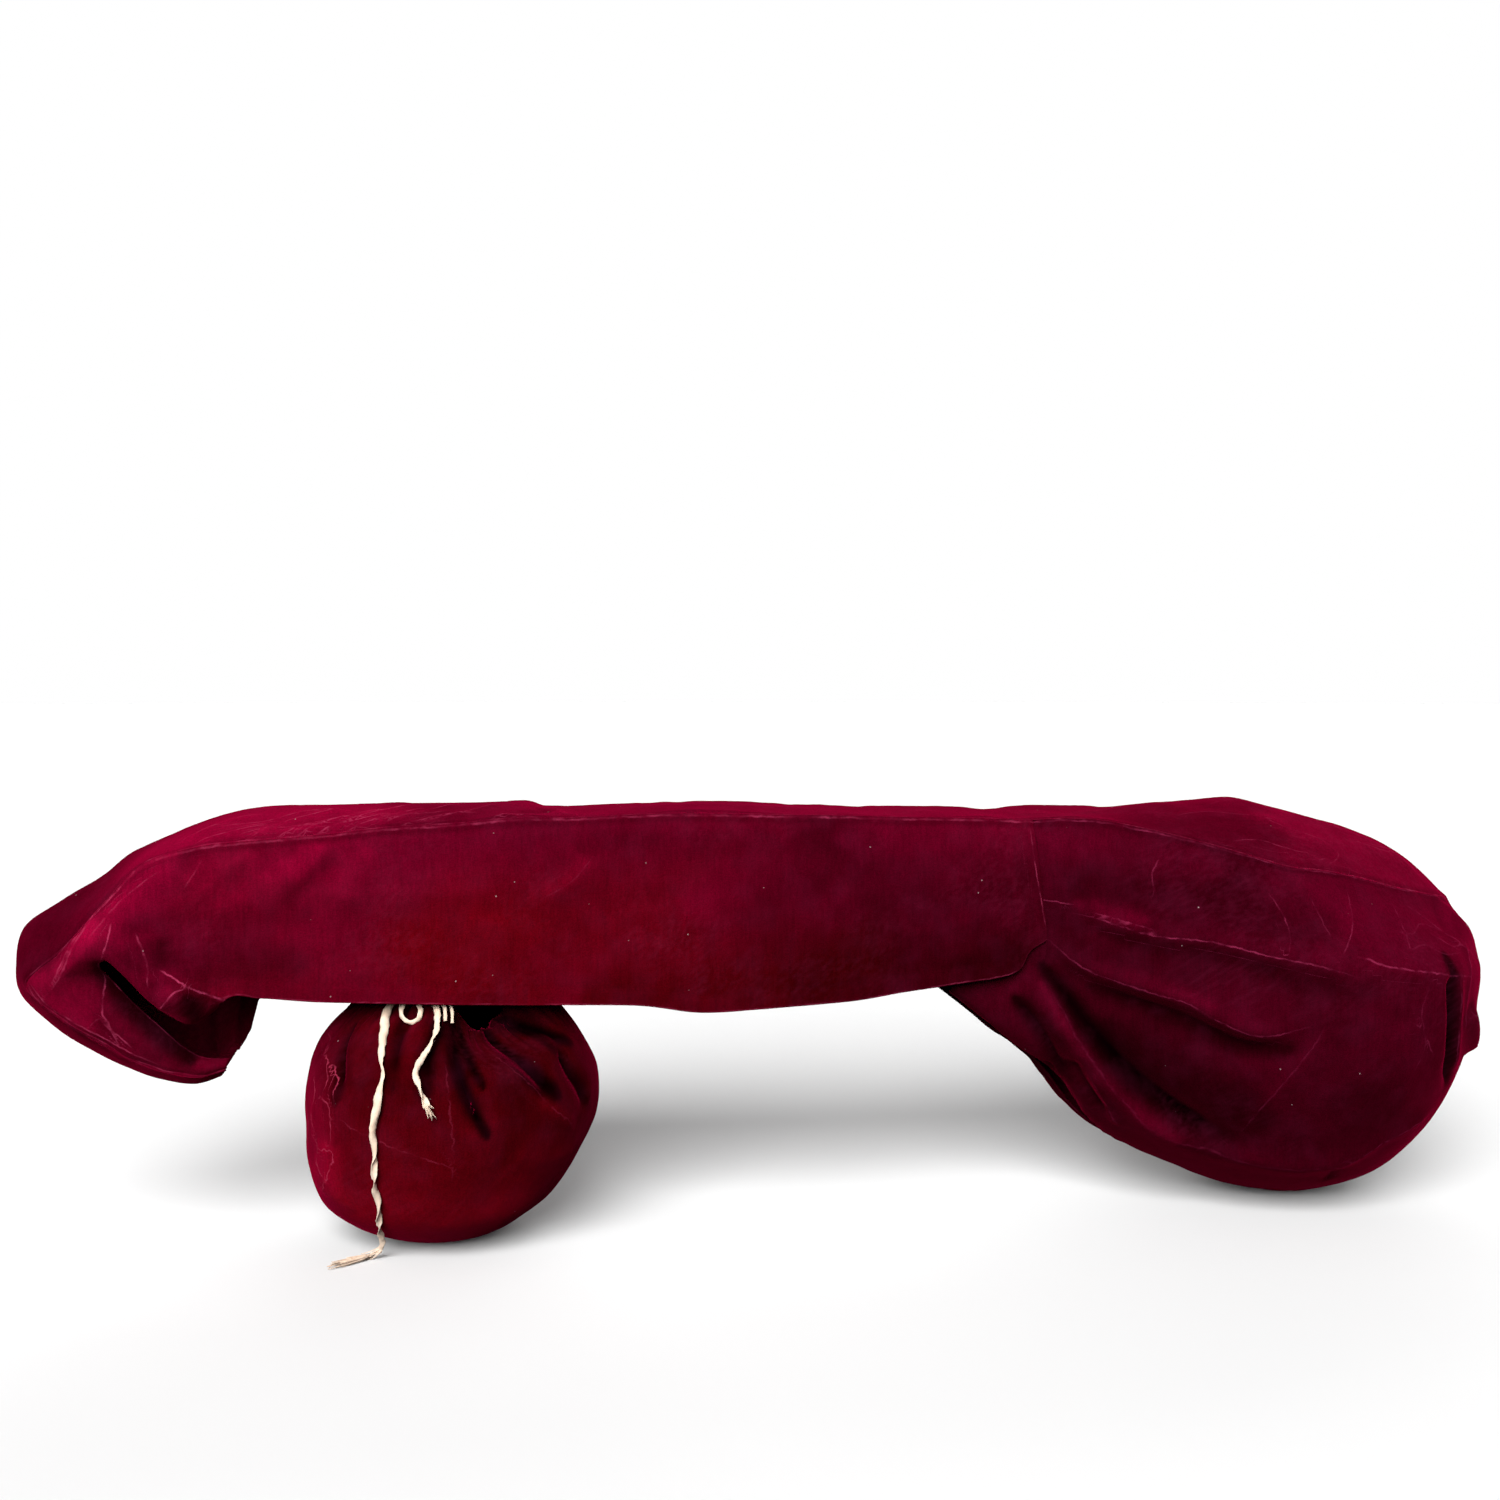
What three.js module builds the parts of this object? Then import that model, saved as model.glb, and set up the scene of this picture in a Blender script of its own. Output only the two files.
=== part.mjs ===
import * as THREE from "three";

// Velvet cover of a long-necked lute, in millimetres, as it hangs on the instrument.
// X runs along the neck towards the bowl, -Y is the front, and heights are above the floor.
const CLOTH_THICKNESS = 2;
const SEAM_GAP = 0.3;
const WAIST_GAP = 2.4;
const BOWL_SEAM_GAP = 1.2;
const TOP_UNDERSIDE = 374;
const STRIP_STEPS = 8;
const STRIP_ROUNDNESS = 1.7;
const FLAP_STEPS = 9;
const BOWL_STEPS = 18;
const BOWL_BACK_STEPS = 12;
const STATION_STEPS = 2;
const RIM_SHARE = 0.36;
const BACK_BULGE = 0.05;

const VELVET = { name: "crimson_velvet", color: 0x73051f };
const TAPE = { name: "cream_cotton_tape", color: 0xefd4c3 };

// Neck stations from the waist seam to the pegs: centre of the top strip, its sewn edge,
// and the hems of the front and back flaps.
const NECK_COLUMNS = ["x", "crownZ", "seamY", "seamZ", "hemX", "hemY", "hemZ", "backZ"];
const NECK = [
  [262, 366, 62, 363, 262, 68, 258, 258],
  [244, 366, 61, 363, 245, 68, 246, 246],
  [226, 367, 60, 364, 229, 69, 226, 226],
  [166, 369, 60, 366, 166, 69, 217, 218],
  [124, 370, 60, 367, 124, 69, 212, 214],
  [78, 371, 60, 369, 78, 69, 206, 211],
  [0, 374, 60, 371, 0, 71, 202, 208],
  [-57, 376, 62, 373, -57, 73, 201, 207],
  [-110, 377, 64, 373, -110, 74, 209, 208],
  [-172, 372, 66, 371, -172, 77, 212, 207],
  [-213, 379, 70, 372, -213, 80, 214, 207],
  [-272, 379, 75, 368, -272, 84, 217, 209],
  [-324, 380, 78, 366, -324, 86, 220, 207],
  [-380, 380, 80, 361, -380, 86, 223, 210],
];

// Stations around the head pouch: over the top, down the end and back under to its mouth.
// The lip is the edge of the front panel at the mouth, the edge that of the back panel.
const HEAD_COLUMNS = [
  "crownX", "crownZ", "seamX", "seamY", "seamZ", "rimShare", "rimY",
  "lipX", "lipY", "lipZ", "edgeX", "edgeY", "edgeZ",
];
const HEAD = [
  [-429, 379, -434, 80, 357, 0.36, 86, -428, 85, 228, -426, 84, 210],
  [-462, 373, -470, 80, 354, 0.5, 87, -455, 84, 230, -440, 78, 204],
  [-490, 364, -498, 78, 348, 0.7, 86, -473, 54, 212, -445, 73, 199],
  [-512, 355, -518, 75, 341, 0.75, 85, -488, 48, 204, -446, 70, 195],
  [-530, 347, -533, 72, 330, 0.7, 83, -511, 64, 221, -447, 67, 190],
  [-547, 337, -548, 68, 313, 0.6, 80, -532, 74, 245, -448, 64, 185],
  [-572, 316, -566, 64, 293, 0.5, 76, -550, 72, 263, -449, 61, 180],
  [-602, 299, -588, 58, 268, 0.5, 71, -558, 68, 261, -450, 58, 175],
  [-630, 280, -609, 52, 251, 0.5, 66, -559, 65, 254, -452, 55, 171],
  [-637, 252, -619, 48, 239, 0.5, 62, -555, 62, 246, -453, 53, 168],
  [-634, 222, -611, 45, 225, 0.5, 58, -548, 60, 236, -454, 51, 166],
  [-608, 197, -592, 44, 208, 0.5, 54, -538, 57, 222, -455, 49, 164],
  [-577, 176, -568, 43, 192, 0.5, 50, -522, 52, 206, -456, 46, 162],
  [-546, 160, -539, 41, 173, 0.5, 45, -505, 46, 187, -457, 43, 161],
  [-518, 148, -511, 38, 160, 0.5, 40, -493, 40, 174, -457, 40, 161],
  [-492, 142, -484, 35, 154, 0.5, 37, -479, 36, 165, -457, 37, 162],
  [-470, 148, -462, 33, 159, 0.5, 35, -457, 34, 167, -453, 35, 164],
];

// Sections of the bowl pouch, from the tip under the neck along the waist seam, then along
// the sewn edge of the top to the right end. The rim is the widest line of the bowl.
const BOWL_COLUMNS = [
  "seamX", "seamY", "seamZ", "rimX", "rimY", "rimZ", "keelX", "keelY", "keelZ",
];
const BOWL_SIDE = [
  [180, 50, 224, 180, 47, 218, 178, 42, 208],
  [220, 56, 238, 216, 54, 215, 214, 40, 180],
  [265, 67, 256, 252, 65, 215, 245, 36, 155],
  [264, 67, 292, 266, 72, 235, 278, 33, 133],
  [263, 65, 327, 276, 76, 258, 296, 28, 114],
];
const BOWL_TOP_COLUMNS = ["crownX", "crownZ", ...BOWL_COLUMNS];
const BOWL_TOP = [
  [262, 366, 262, 62, 363, 288, 82, 277, 314, 22, 88],
  [305, 366, 300, 75, 364, 316, 96, 275, 336, 12, 67],
  [352, 368, 350, 92, 355, 355, 119, 269, 362, 4, 52],
  [395, 371, 391, 108, 345, 398, 143, 263, 405, 0, 33],
  [438, 374, 430, 120, 334, 440, 163, 254, 452, 0, 13],
  [472, 376, 468, 126, 323, 486, 178, 244, 500, 0, 4],
  [508, 368, 506, 124, 318, 530, 182, 238, 536, 0, 3],
  [547, 358, 543, 114, 310, 574, 175, 232, 570, 0, 8],
  [590, 346, 582, 98, 300, 612, 156, 229, 602, 0, 22],
  [629, 328, 622, 77, 291, 648, 128, 224, 629, 0, 46],
  [660, 306, 657, 54, 284, 678, 90, 219, 652, 0, 76],
  [687, 282, 684, 24, 278, 696, 49, 211, 670, 0, 108],
];
const BOWL_END = [
  [690, 0, 279, 700, 33, 204, 678, 0, 120],
  [700, 0, 246, 704, 16, 194, 688, 0, 134],
  [704, 0, 212, 706, 0, 182, 704, 0, 155],
];

// Drawstring bag: rings from its foot up to the gathered mouth.
const BAG_COLUMNS = ["height", "radius", "centreX"];
const BAG = [
  [0, 18, -284],
  [4, 40, -284],
  [10, 57, -285],
  [20, 76, -287],
  [38, 97, -287],
  [70, 116, -281],
  [100, 125, -273],
  [130, 129, -269],
  [158, 122, -270],
  [180, 110, -271],
  [198, 93, -270],
  [212, 72, -268],
  [220, 60, -267],
];
const BAG_SIDES = 56;
const BAG_RING_STEPS = 1;
// The mouth sinks at the front right: angle from the front, sink, spread.
const MOUTH_SINK = { angle: 27, depth: 36, spread: 34 };
// Gathers running down from the mouth: angle from the front, depth, spread and length.
const GATHER_COLUMNS = ["angle", "depth", "spread", "reach"];
const GATHERS = [
  [-156, 7, 9, 80],
  [-128, 8, 8, 90],
  [-101, 6, 8, 70],
  [-74, 7, 8, 80],
  [-49, 7, 7, 90],
  [-26, 4, 6, 50],
  [3, 10, 6, 110],
  [16, 5, 5, 60],
  [32, 10, 6, 95],
  [48, 8, 6, 80],
  [67, 6, 7, 60],
  [92, 7, 8, 80],
  [124, 8, 9, 90],
  [160, 6, 9, 70],
];

// Soft folds of the front panels: three points of the fold in the front view, its half
// width, and its height out of the cloth (a trough is negative).
const FOLD_COLUMNS = ["x1", "z1", "x2", "z2", "x3", "z3", "width", "height"];
const BOWL_FOLDS = [
  [276, 188, 300, 152, 397, 67, 22, 13],
  [397, 67, 490, 54, 571, 84, 20, 9],
  [284, 206, 330, 150, 430, 88, 22, -13],
  [288, 243, 351, 215, 479, 187, 18, 8],
  [300, 215, 380, 188, 460, 166, 20, -7],
  [479, 187, 450, 125, 432, 75, 16, 7],
  [605, 222, 606, 180, 624, 119, 14, -9],
  [235, 199, 257, 172, 278, 140, 16, -7],
  [636, 190, 650, 168, 656, 148, 16, 9],
];
const NECK_FOLDS = [
  [-457, 231, -485, 240, -508, 252, 12, 4],
  [-541, 290, -492, 319, -420, 350, 18, 5],
  [-396, 313, -314, 314, -214, 312, 22, 3],
  [-527, 282, -518, 258, -518, 241, 9, -4],
];

// Tapes of the tie, from the knot to the free end.
const TAPE_COLUMNS = ["x", "y", "z", "width", "twist"];
const TAPE_THICKNESS = 1.8;
const LONG_END = [
  [-310, -55.7, 226.5, 8, 0],
  [-320, -63, 219, 8, 0],
  [-326, -74, 208, 9, 0],
  [-328, -88, 194, 9, 10],
  [-330, -103, 177, 8, 50],
  [-328, -110, 168, 8, 90],
  [-331, -116, 154, 9, 40],
  [-333, -120, 138, 9, 0],
  [-335, -120, 120, 8, -30],
  [-335, -117, 103, 7, 60],
  [-334, -113, 79, 7, 150],
  [-332, -104, 55, 7, 240],
  [-331, -90, 34, 7, 330],
  [-330, -74, 15, 7, 400],
  [-331, -68, 5, 7, 430],
  [-342, -72, 2.6, 7, 440],
  [-356, -80, 2.4, 7, 450],
  [-372, -87, 2.4, 7, 455],
];
const SHORT_END = [
  [-297, -56.6, 225.5, 8, 0],
  [-290, -65, 220, 8, 10],
  [-284, -78, 212, 8, 10],
  [-285, -95, 198, 8, 40],
  [-290, -105, 188, 8, 60],
  [-297, -113, 178, 8, 20],
  [-300, -121, 168, 7, -40],
  [-298, -127, 157, 7, -20],
  [-292, -133, 144, 7, 20],
  [-287, -136, 134, 7, 0],
];
const LOOP = [
  [-306, -59, 227, 5, 0],
  [-309, -68, 222, 5, 15],
  [-313, -76, 216, 5, 30],
  [-313.5, -80, 209, 5, 35],
  [-309.5, -83, 204, 5, 35],
  [-304, -84, 202.6, 5, 35],
  [-299, -83, 205, 5, 35],
  [-296.8, -79, 211, 5, 35],
  [-299, -73, 218, 5, 30],
  [-301.5, -66, 223, 5, 15],
  [-301, -59, 226, 5, 0],
];
const KNOT = { x: -303, y: -54, z: 227.7, radius: 7 };

const named = (columns, table) =>
  table.map((row) => Object.fromEntries(columns.map((column, i) => [column, row[i]])));

const mix = (a, b, share) => a + (b - a) * share;

const smooth = (low, high, value) => THREE.MathUtils.smoothstep(value, low, high);

// Smooth value of each column at a place between the rows.
function between(rows, place) {
  const last = rows.length - 1;
  const i = Math.min(Math.floor(place), last - 1);
  const k = place - i;
  const pick = (n) => rows[Math.max(0, Math.min(last, n))];
  const [a, b, c, d] = [pick(i - 1), pick(i), pick(i + 1), pick(i + 2)];
  const blend = (key) => {
    const slopeIn = (c[key] - a[key]) / 2;
    const slopeOut = (d[key] - b[key]) / 2;
    const rise = c[key] - b[key];
    const square = 3 * rise - 2 * slopeIn - slopeOut;
    const cube = slopeIn + slopeOut - 2 * rise;
    return b[key] + k * (slopeIn + k * (square + k * cube));
  };
  return Object.fromEntries(Object.keys(b).map((key) => [key, blend(key)]));
}

function stations(rows, steps) {
  const count = (rows.length - 1) * steps;
  return Array.from({ length: count + 1 }, (_, i) => between(rows, i / steps));
}

// One line down a panel: straight from the seam to the rim, then falling to the hem.
function sectionPoint(row, v, side) {
  const { seam, rim, hem } = row;
  if (v <= RIM_SHARE) {
    const k = v / RIM_SHARE;
    const y = mix(seam.y, rim.y, k);
    return new THREE.Vector3(mix(seam.x, rim.x, k), side * y, mix(seam.z, rim.z, k));
  }
  const k = (v - RIM_SHARE) / (1 - RIM_SHARE);
  const turn = (k * Math.PI) / 2;
  const y = mix(rim.y, hem.y, 1 - Math.cos(turn));
  return new THREE.Vector3(mix(rim.x, hem.x, k), side * y, mix(rim.z, hem.z, Math.sin(turn)));
}

const seamOf = (row) => ({ x: row.seamX, y: row.seamY, z: row.seamZ });

function neckSection(row, back) {
  const seam = { x: row.x, y: row.seamY, z: row.seamZ };
  const hem = { x: row.hemX, y: row.hemY, z: back ? row.backZ : row.hemZ };
  const rimY = mix(row.seamY, row.hemY, 0.7) + 1;
  const rim = { x: mix(seam.x, hem.x, 0.3), y: rimY, z: mix(seam.z, hem.z, 0.3) };
  return { seam, rim, hem };
}

function headSection(row, back) {
  const seam = seamOf(row);
  const lip = { x: row.lipX, y: row.lipY, z: row.lipZ };
  const edge = { x: row.edgeX, y: row.edgeY, z: row.edgeZ };
  const hem = back ? edge : lip;
  const share = back ? RIM_SHARE : row.rimShare;
  const span = Math.hypot(row.edgeX - row.seamX, row.edgeZ - row.seamZ);
  const rimY = back ? mix(row.seamY, row.edgeY, share) + BACK_BULGE * span : row.rimY;
  const rim = { x: mix(seam.x, hem.x, share), y: rimY, z: mix(seam.z, hem.z, share) };
  return { seam, rim, hem };
}

function bowlSection(row) {
  const rim = { x: row.rimX, y: row.rimY, z: row.rimZ };
  const hem = { x: row.keelX, y: row.keelY, z: row.keelZ };
  return { seam: seamOf(row), rim, hem };
}

// A sheet as columns of points, all columns of one length.
function gridFaces(columns, flip) {
  const rows = columns[0].length;
  const faces = [];
  for (let i = 0; i + 1 < columns.length; i += 1) {
    for (let j = 0; j + 1 < rows; j += 1) {
      const a = i * rows + j;
      const b = a + rows;
      const quad = [[a, b, b + 1], [a, b + 1, a + 1]];
      faces.push(...quad.map((face) => (flip ? [face[0], face[2], face[1]] : face)));
    }
  }
  return faces;
}

function vertexNormals(points, faces) {
  const normals = points.map(() => new THREE.Vector3());
  for (const [a, b, c] of faces) {
    const first = new THREE.Vector3().subVectors(points[b], points[a]);
    const second = new THREE.Vector3().subVectors(points[c], points[a]);
    const normal = first.cross(second);
    [a, b, c].forEach((i) => normals[i].add(normal));
  }
  return normals.map((normal) => normal.normalize());
}

// Closed solid of a sheet: its inner face, its outer face and a wall along each free edge.
function thicken(points, faces) {
  const normals = vertexNormals(points, faces);
  const outer = points.map((p, i) => p.clone().addScaledVector(normals[i], CLOTH_THICKNESS));
  const count = points.length;
  const index = [];
  const open = new Map();
  for (const [a, b, c] of faces) {
    index.push(c, b, a, a + count, b + count, c + count);
    for (const [from, to] of [[a, b], [b, c], [c, a]]) {
      if (!open.delete(`${to},${from}`)) {
        open.set(`${from},${to}`, [from, to]);
      }
    }
  }
  for (const [from, to] of open.values()) {
    index.push(from, to, to + count, from, to + count, from + count);
  }
  return { points: [...points, ...outer], index };
}

function solid(name, { points, index }, finish) {
  const geometry = new THREE.BufferGeometry();
  const lowered = points.flatMap((p) => [p.x, p.y, p.z - TOP_UNDERSIDE]);
  geometry.setAttribute("position", new THREE.Float32BufferAttribute(lowered, 3));
  geometry.setIndex(index);
  geometry.computeVertexNormals();
  const material = new THREE.MeshStandardMaterial({ color: finish.color, roughness: 0.9 });
  material.name = finish.name;
  const mesh = new THREE.Mesh(geometry, material);
  mesh.name = name;
  return mesh;
}

// Draws the first points of a line in by half the seam gap, so that sewn panels stay apart.
function drawIn(from, towards, gap) {
  const step = new THREE.Vector3().subVectors(towards, from).setLength(gap / 2);
  from.add(step);
}

function segmentDistance(x, z, ax, az, bx, bz) {
  const [dx, dz] = [bx - ax, bz - az];
  const share = ((x - ax) * dx + (z - az) * dz) / (dx * dx + dz * dz);
  const k = Math.max(0, Math.min(1, share));
  return { distance: Math.hypot(x - ax - k * dx, z - az - k * dz), k };
}

function foldHeight(folds, x, z) {
  return folds.reduce((sum, fold) => {
    const first = segmentDistance(x, z, fold.x1, fold.z1, fold.x2, fold.z2);
    const second = segmentDistance(x, z, fold.x2, fold.z2, fold.x3, fold.z3);
    const distance = Math.min(first.distance, second.distance);
    return sum + fold.height * Math.exp(-((distance / fold.width) ** 2));
  }, 0);
}

// Pushes the folds out along the cloth's normals, dying away towards the sewn edges.
function raiseFolds(columns, faces, folds, hold) {
  const points = columns.flat();
  const normals = vertexNormals(points, faces);
  const rows = columns[0].length;
  const last = columns.length - 1;
  return columns.map((column, i) =>
    column.map((p, j) => {
      const normal = normals[i * rows + j];
      const height = foldHeight(folds, p.x, p.z) * hold(i / last, j / (rows - 1));
      return p.clone().addScaledVector(normal, height);
    }),
  );
}

function panelColumns(sections, steps, side) {
  return sections.map((row) =>
    Array.from({ length: steps + 1 }, (_, j) => sectionPoint(row, j / steps, side)),
  );
}

const neckRows = stations(named(NECK_COLUMNS, NECK), STATION_STEPS);
const headRows = stations(named(HEAD_COLUMNS, HEAD), STATION_STEPS);
const bowlSideRows = named(BOWL_COLUMNS, BOWL_SIDE);
const bowlTopRows = named(BOWL_TOP_COLUMNS, BOWL_TOP);
const bowlEndRows = named(BOWL_COLUMNS, BOWL_END);

// Top strip: from the right end over the bowl and the neck, then around the head to its mouth.
function topPanel() {
  const overBowl = stations(bowlTopRows, STATION_STEPS).reverse().map((row) => ({
    crown: { x: row.crownX, z: row.crownZ },
    seam: seamOf(row),
  }));
  const overNeck = neckRows.map((row) => ({
    crown: { x: row.x, z: row.crownZ },
    seam: { x: row.x, y: row.seamY, z: row.seamZ },
  }));
  const aroundHead = headRows.map((row) => ({
    crown: { x: row.crownX, z: row.crownZ },
    seam: seamOf(row),
  }));
  const rows = [...overBowl, ...overNeck.slice(1), ...aroundHead];
  const columns = rows.map(({ crown, seam }) =>
    Array.from({ length: STRIP_STEPS + 1 }, (_, j) => {
      const v = (2 * j) / STRIP_STEPS - 1;
      const share = Math.abs(v) ** STRIP_ROUNDNESS;
      const x = mix(crown.x, seam.x, share);
      return new THREE.Vector3(x, v * seam.y, mix(crown.z, seam.z, share));
    }),
  );
  columns.forEach((column) => {
    drawIn(column[0], column[1], SEAM_GAP);
    drawIn(column[STRIP_STEPS], column[STRIP_STEPS - 1], SEAM_GAP);
  });
  return solid("top_panel", thicken(columns.flat(), gridFaces(columns, true)), VELVET);
}

function neckPanel(name, back, folds) {
  const sections = [
    ...neckRows.map((row) => neckSection(row, back)),
    ...headRows.map((row) => headSection(row, back)),
  ];
  const hold = (u, v) => smooth(0, 0.1, v) * smooth(0, 0.05, u) * smooth(0, 0.03, 1 - u);
  const flat = panelColumns(sections, FLAP_STEPS, back ? 1 : -1);
  const faces = gridFaces(flat, back);
  const columns = raiseFolds(flat, faces, folds, hold);
  columns.forEach((column) => drawIn(column[0], column[1], SEAM_GAP));
  columns[0].forEach((p, j) => drawIn(p, columns[1][j], WAIST_GAP));
  return solid(name, thicken(columns.flat(), faces), VELVET);
}

function bowlPanel(name, back, folds) {
  const bowlRows = named(BOWL_COLUMNS, BOWL_TOP.map((row) => row.slice(2)));
  const sections = [
    ...stations([...bowlSideRows, bowlRows[0]], STATION_STEPS),
    ...stations(bowlRows, STATION_STEPS).slice(1),
    ...stations([bowlRows.at(-1), ...bowlEndRows], STATION_STEPS).slice(1),
  ];
  const steps = back ? BOWL_BACK_STEPS : BOWL_STEPS;
  const hold = (u, v) => smooth(0, 0.1, v) * smooth(0, 0.12, 1 - v) * smooth(0, 0.08, 1 - u);
  const flat = panelColumns(sections.map(bowlSection), steps, back ? 1 : -1);
  const faces = gridFaces(flat, !back);
  const columns = raiseFolds(flat, faces, folds, hold);
  columns.forEach((column) => drawIn(column[0], column[1], BOWL_SEAM_GAP));
  const shell = thicken(columns.flat(), faces);
  shell.points.forEach((p) => {
    p.y = back ? Math.max(p.y, SEAM_GAP / 2) : Math.min(p.y, -SEAM_GAP / 2);
  });
  return solid(name, shell, VELVET);
}

const degreesApart = (a, b) => Math.abs(((a - b + 540) % 360) - 180);

// Bag as rings around a foot point, with the gathers pressed in and the mouth sunk in front.
function gourdBag() {
  const rings = stations(named(BAG_COLUMNS, BAG), BAG_RING_STEPS);
  const gathers = named(GATHER_COLUMNS, GATHERS);
  const mouthZ = rings[rings.length - 1].height;
  const ringPoints = rings.map((ring) =>
    Array.from({ length: BAG_SIDES }, (_, i) => {
      const angle = (360 * i) / BAG_SIDES;
      const pressed = gathers.reduce((sum, gather) => {
        const near = Math.exp(-((degreesApart(angle, gather.angle) / gather.spread) ** 2));
        const low = mouthZ - gather.reach;
        return sum + gather.depth * near * smooth(low, mix(low, mouthZ, 0.7), ring.height);
      }, 0);
      const apart = degreesApart(angle, MOUTH_SINK.angle) / MOUTH_SINK.spread;
      const sink = MOUTH_SINK.depth * Math.exp(-(apart ** 2)) * smooth(150, mouthZ, ring.height);
      const radius = ring.radius - pressed;
      const turn = THREE.MathUtils.degToRad(angle);
      const x = ring.centreX + radius * Math.sin(turn);
      return new THREE.Vector3(x, -radius * Math.cos(turn), ring.height - sink);
    }),
  );
  const foot = new THREE.Vector3(rings[0].centreX, 0, 0);
  const points = [foot, ...ringPoints.flat()];
  const faces = [];
  for (let i = 0; i < BAG_SIDES; i += 1) {
    const next = (i + 1) % BAG_SIDES;
    faces.push([0, 1 + next, 1 + i]);
    for (let ring = 0; ring + 1 < rings.length; ring += 1) {
      const a = 1 + ring * BAG_SIDES + i;
      const b = 1 + ring * BAG_SIDES + next;
      faces.push([a, b, b + BAG_SIDES], [a, b + BAG_SIDES, a + BAG_SIDES]);
    }
  }
  const raised = points.map((p) => p.clone().setZ(p.z + CLOTH_THICKNESS));
  return solid("gourd_bag", thicken(raised, faces), VELVET);
}

// Flat woven tape swept along its rows, turned about its own line by the twist.
function tape(name, table) {
  const rows = stations(named(TAPE_COLUMNS, table), 2);
  const path = rows.map((row) => new THREE.Vector3(row.x, row.y, row.z));
  const corners = 8;
  const points = [];
  rows.forEach((row, i) => {
    const before = path[Math.max(0, i - 1)];
    const after = path[Math.min(path.length - 1, i + 1)];
    const along = new THREE.Vector3().subVectors(after, before).normalize();
    const across = new THREE.Vector3(0, 1, 0).cross(along).normalize();
    const turn = THREE.MathUtils.degToRad(row.twist);
    across.applyAxisAngle(along, turn);
    const up = new THREE.Vector3().crossVectors(along, across);
    for (let corner = 0; corner < corners; corner += 1) {
      const angle = (2 * Math.PI * corner) / corners;
      const point = path[i].clone();
      point.addScaledVector(across, (row.width / 2) * Math.cos(angle));
      point.addScaledVector(up, (TAPE_THICKNESS / 2) * Math.sin(angle));
      points.push(point);
    }
  });
  const index = [];
  for (let i = 0; i + 1 < rows.length; i += 1) {
    for (let corner = 0; corner < corners; corner += 1) {
      const a = i * corners + corner;
      const b = i * corners + ((corner + 1) % corners);
      index.push(a, b, b + corners, a, b + corners, a + corners);
    }
  }
  const end = (rows.length - 1) * corners;
  for (let corner = 1; corner + 1 < corners; corner += 1) {
    index.push(0, corner + 1, corner, end, end + corner, end + corner + 1);
  }
  return solid(name, { points, index }, TAPE);
}

function knot() {
  const geometry = new THREE.IcosahedronGeometry(KNOT.radius, 2);
  const corners = geometry.getAttribute("position");
  const points = [];
  const index = [];
  for (let i = 0; i < corners.count; i += 1) {
    const p = new THREE.Vector3().fromBufferAttribute(corners, i);
    p.multiply(new THREE.Vector3(1, 0.6, 0.8));
    points.push(p.add(new THREE.Vector3(KNOT.x, KNOT.y, KNOT.z)));
    index.push(i);
  }
  return solid("tie_knot", { points, index }, TAPE);
}

const part = new THREE.Group();
part.name = "veena_cover";
part.add(
  topPanel(),
  neckPanel("neck_front", false, named(FOLD_COLUMNS, NECK_FOLDS)),
  neckPanel("neck_back", true, []),
  bowlPanel("bowl_front", false, named(FOLD_COLUMNS, BOWL_FOLDS)),
  bowlPanel("bowl_back", true, []),
  gourdBag(),
  knot(),
  tape("tie_loop", LOOP),
  tape("tie_long_end", LONG_END),
  tape("tie_short_end", SHORT_END),
);

export default part;
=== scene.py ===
"""Crimson velvet cover of a long-necked lute: cloth sheets, tape tie, floor, light and camera.

Tables are in millimetres, with heights above the floor; meshes are in metres.
"""

import math

import bmesh
import bpy
import numpy as np
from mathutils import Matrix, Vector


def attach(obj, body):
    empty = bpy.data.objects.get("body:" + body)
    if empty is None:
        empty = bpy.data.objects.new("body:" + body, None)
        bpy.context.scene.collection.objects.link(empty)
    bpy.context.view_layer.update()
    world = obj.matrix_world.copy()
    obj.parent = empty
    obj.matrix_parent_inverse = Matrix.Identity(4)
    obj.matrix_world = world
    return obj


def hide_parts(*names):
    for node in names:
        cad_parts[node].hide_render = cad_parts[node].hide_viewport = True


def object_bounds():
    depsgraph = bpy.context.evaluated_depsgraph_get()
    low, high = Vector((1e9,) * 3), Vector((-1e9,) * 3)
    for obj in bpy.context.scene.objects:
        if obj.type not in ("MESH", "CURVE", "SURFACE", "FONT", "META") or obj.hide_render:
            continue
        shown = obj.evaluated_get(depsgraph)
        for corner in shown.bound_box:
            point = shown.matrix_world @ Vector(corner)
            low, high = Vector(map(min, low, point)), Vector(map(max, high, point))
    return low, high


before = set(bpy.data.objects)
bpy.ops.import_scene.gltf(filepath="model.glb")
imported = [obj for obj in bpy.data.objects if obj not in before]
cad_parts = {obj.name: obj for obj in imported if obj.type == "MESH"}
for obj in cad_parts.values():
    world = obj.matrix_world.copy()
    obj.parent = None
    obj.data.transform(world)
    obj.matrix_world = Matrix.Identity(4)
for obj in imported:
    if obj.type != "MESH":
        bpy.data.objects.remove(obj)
CAD_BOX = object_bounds()

MM = 0.001
TOP_UNDERSIDE = 374
CLOTH_OUTSIDE = 2.0
CLOTH_THICKNESS = 1.6
FRONT = -1
BACK = 1
TINY = 1e-9
# Smooth seeded noise is a sum of waves, with their lengths in this range around the one asked for.
RUFFLE_WAVES = 14
RUFFLE_RANGE = (0.7, 1.5)

# Meshes of the panels: distance between points, steps from row to row of a table, and the
# distances of two closer rows of points along each edge.
FLAP_GRAIN = 2.3
BOWL_GRAIN = 2.76
TOP_GRAIN = 2.5
BACK_GRAIN = 3.2
CURVE_STEPS = 20
EDGE_ROWS = (0.7, 1.5)

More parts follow.
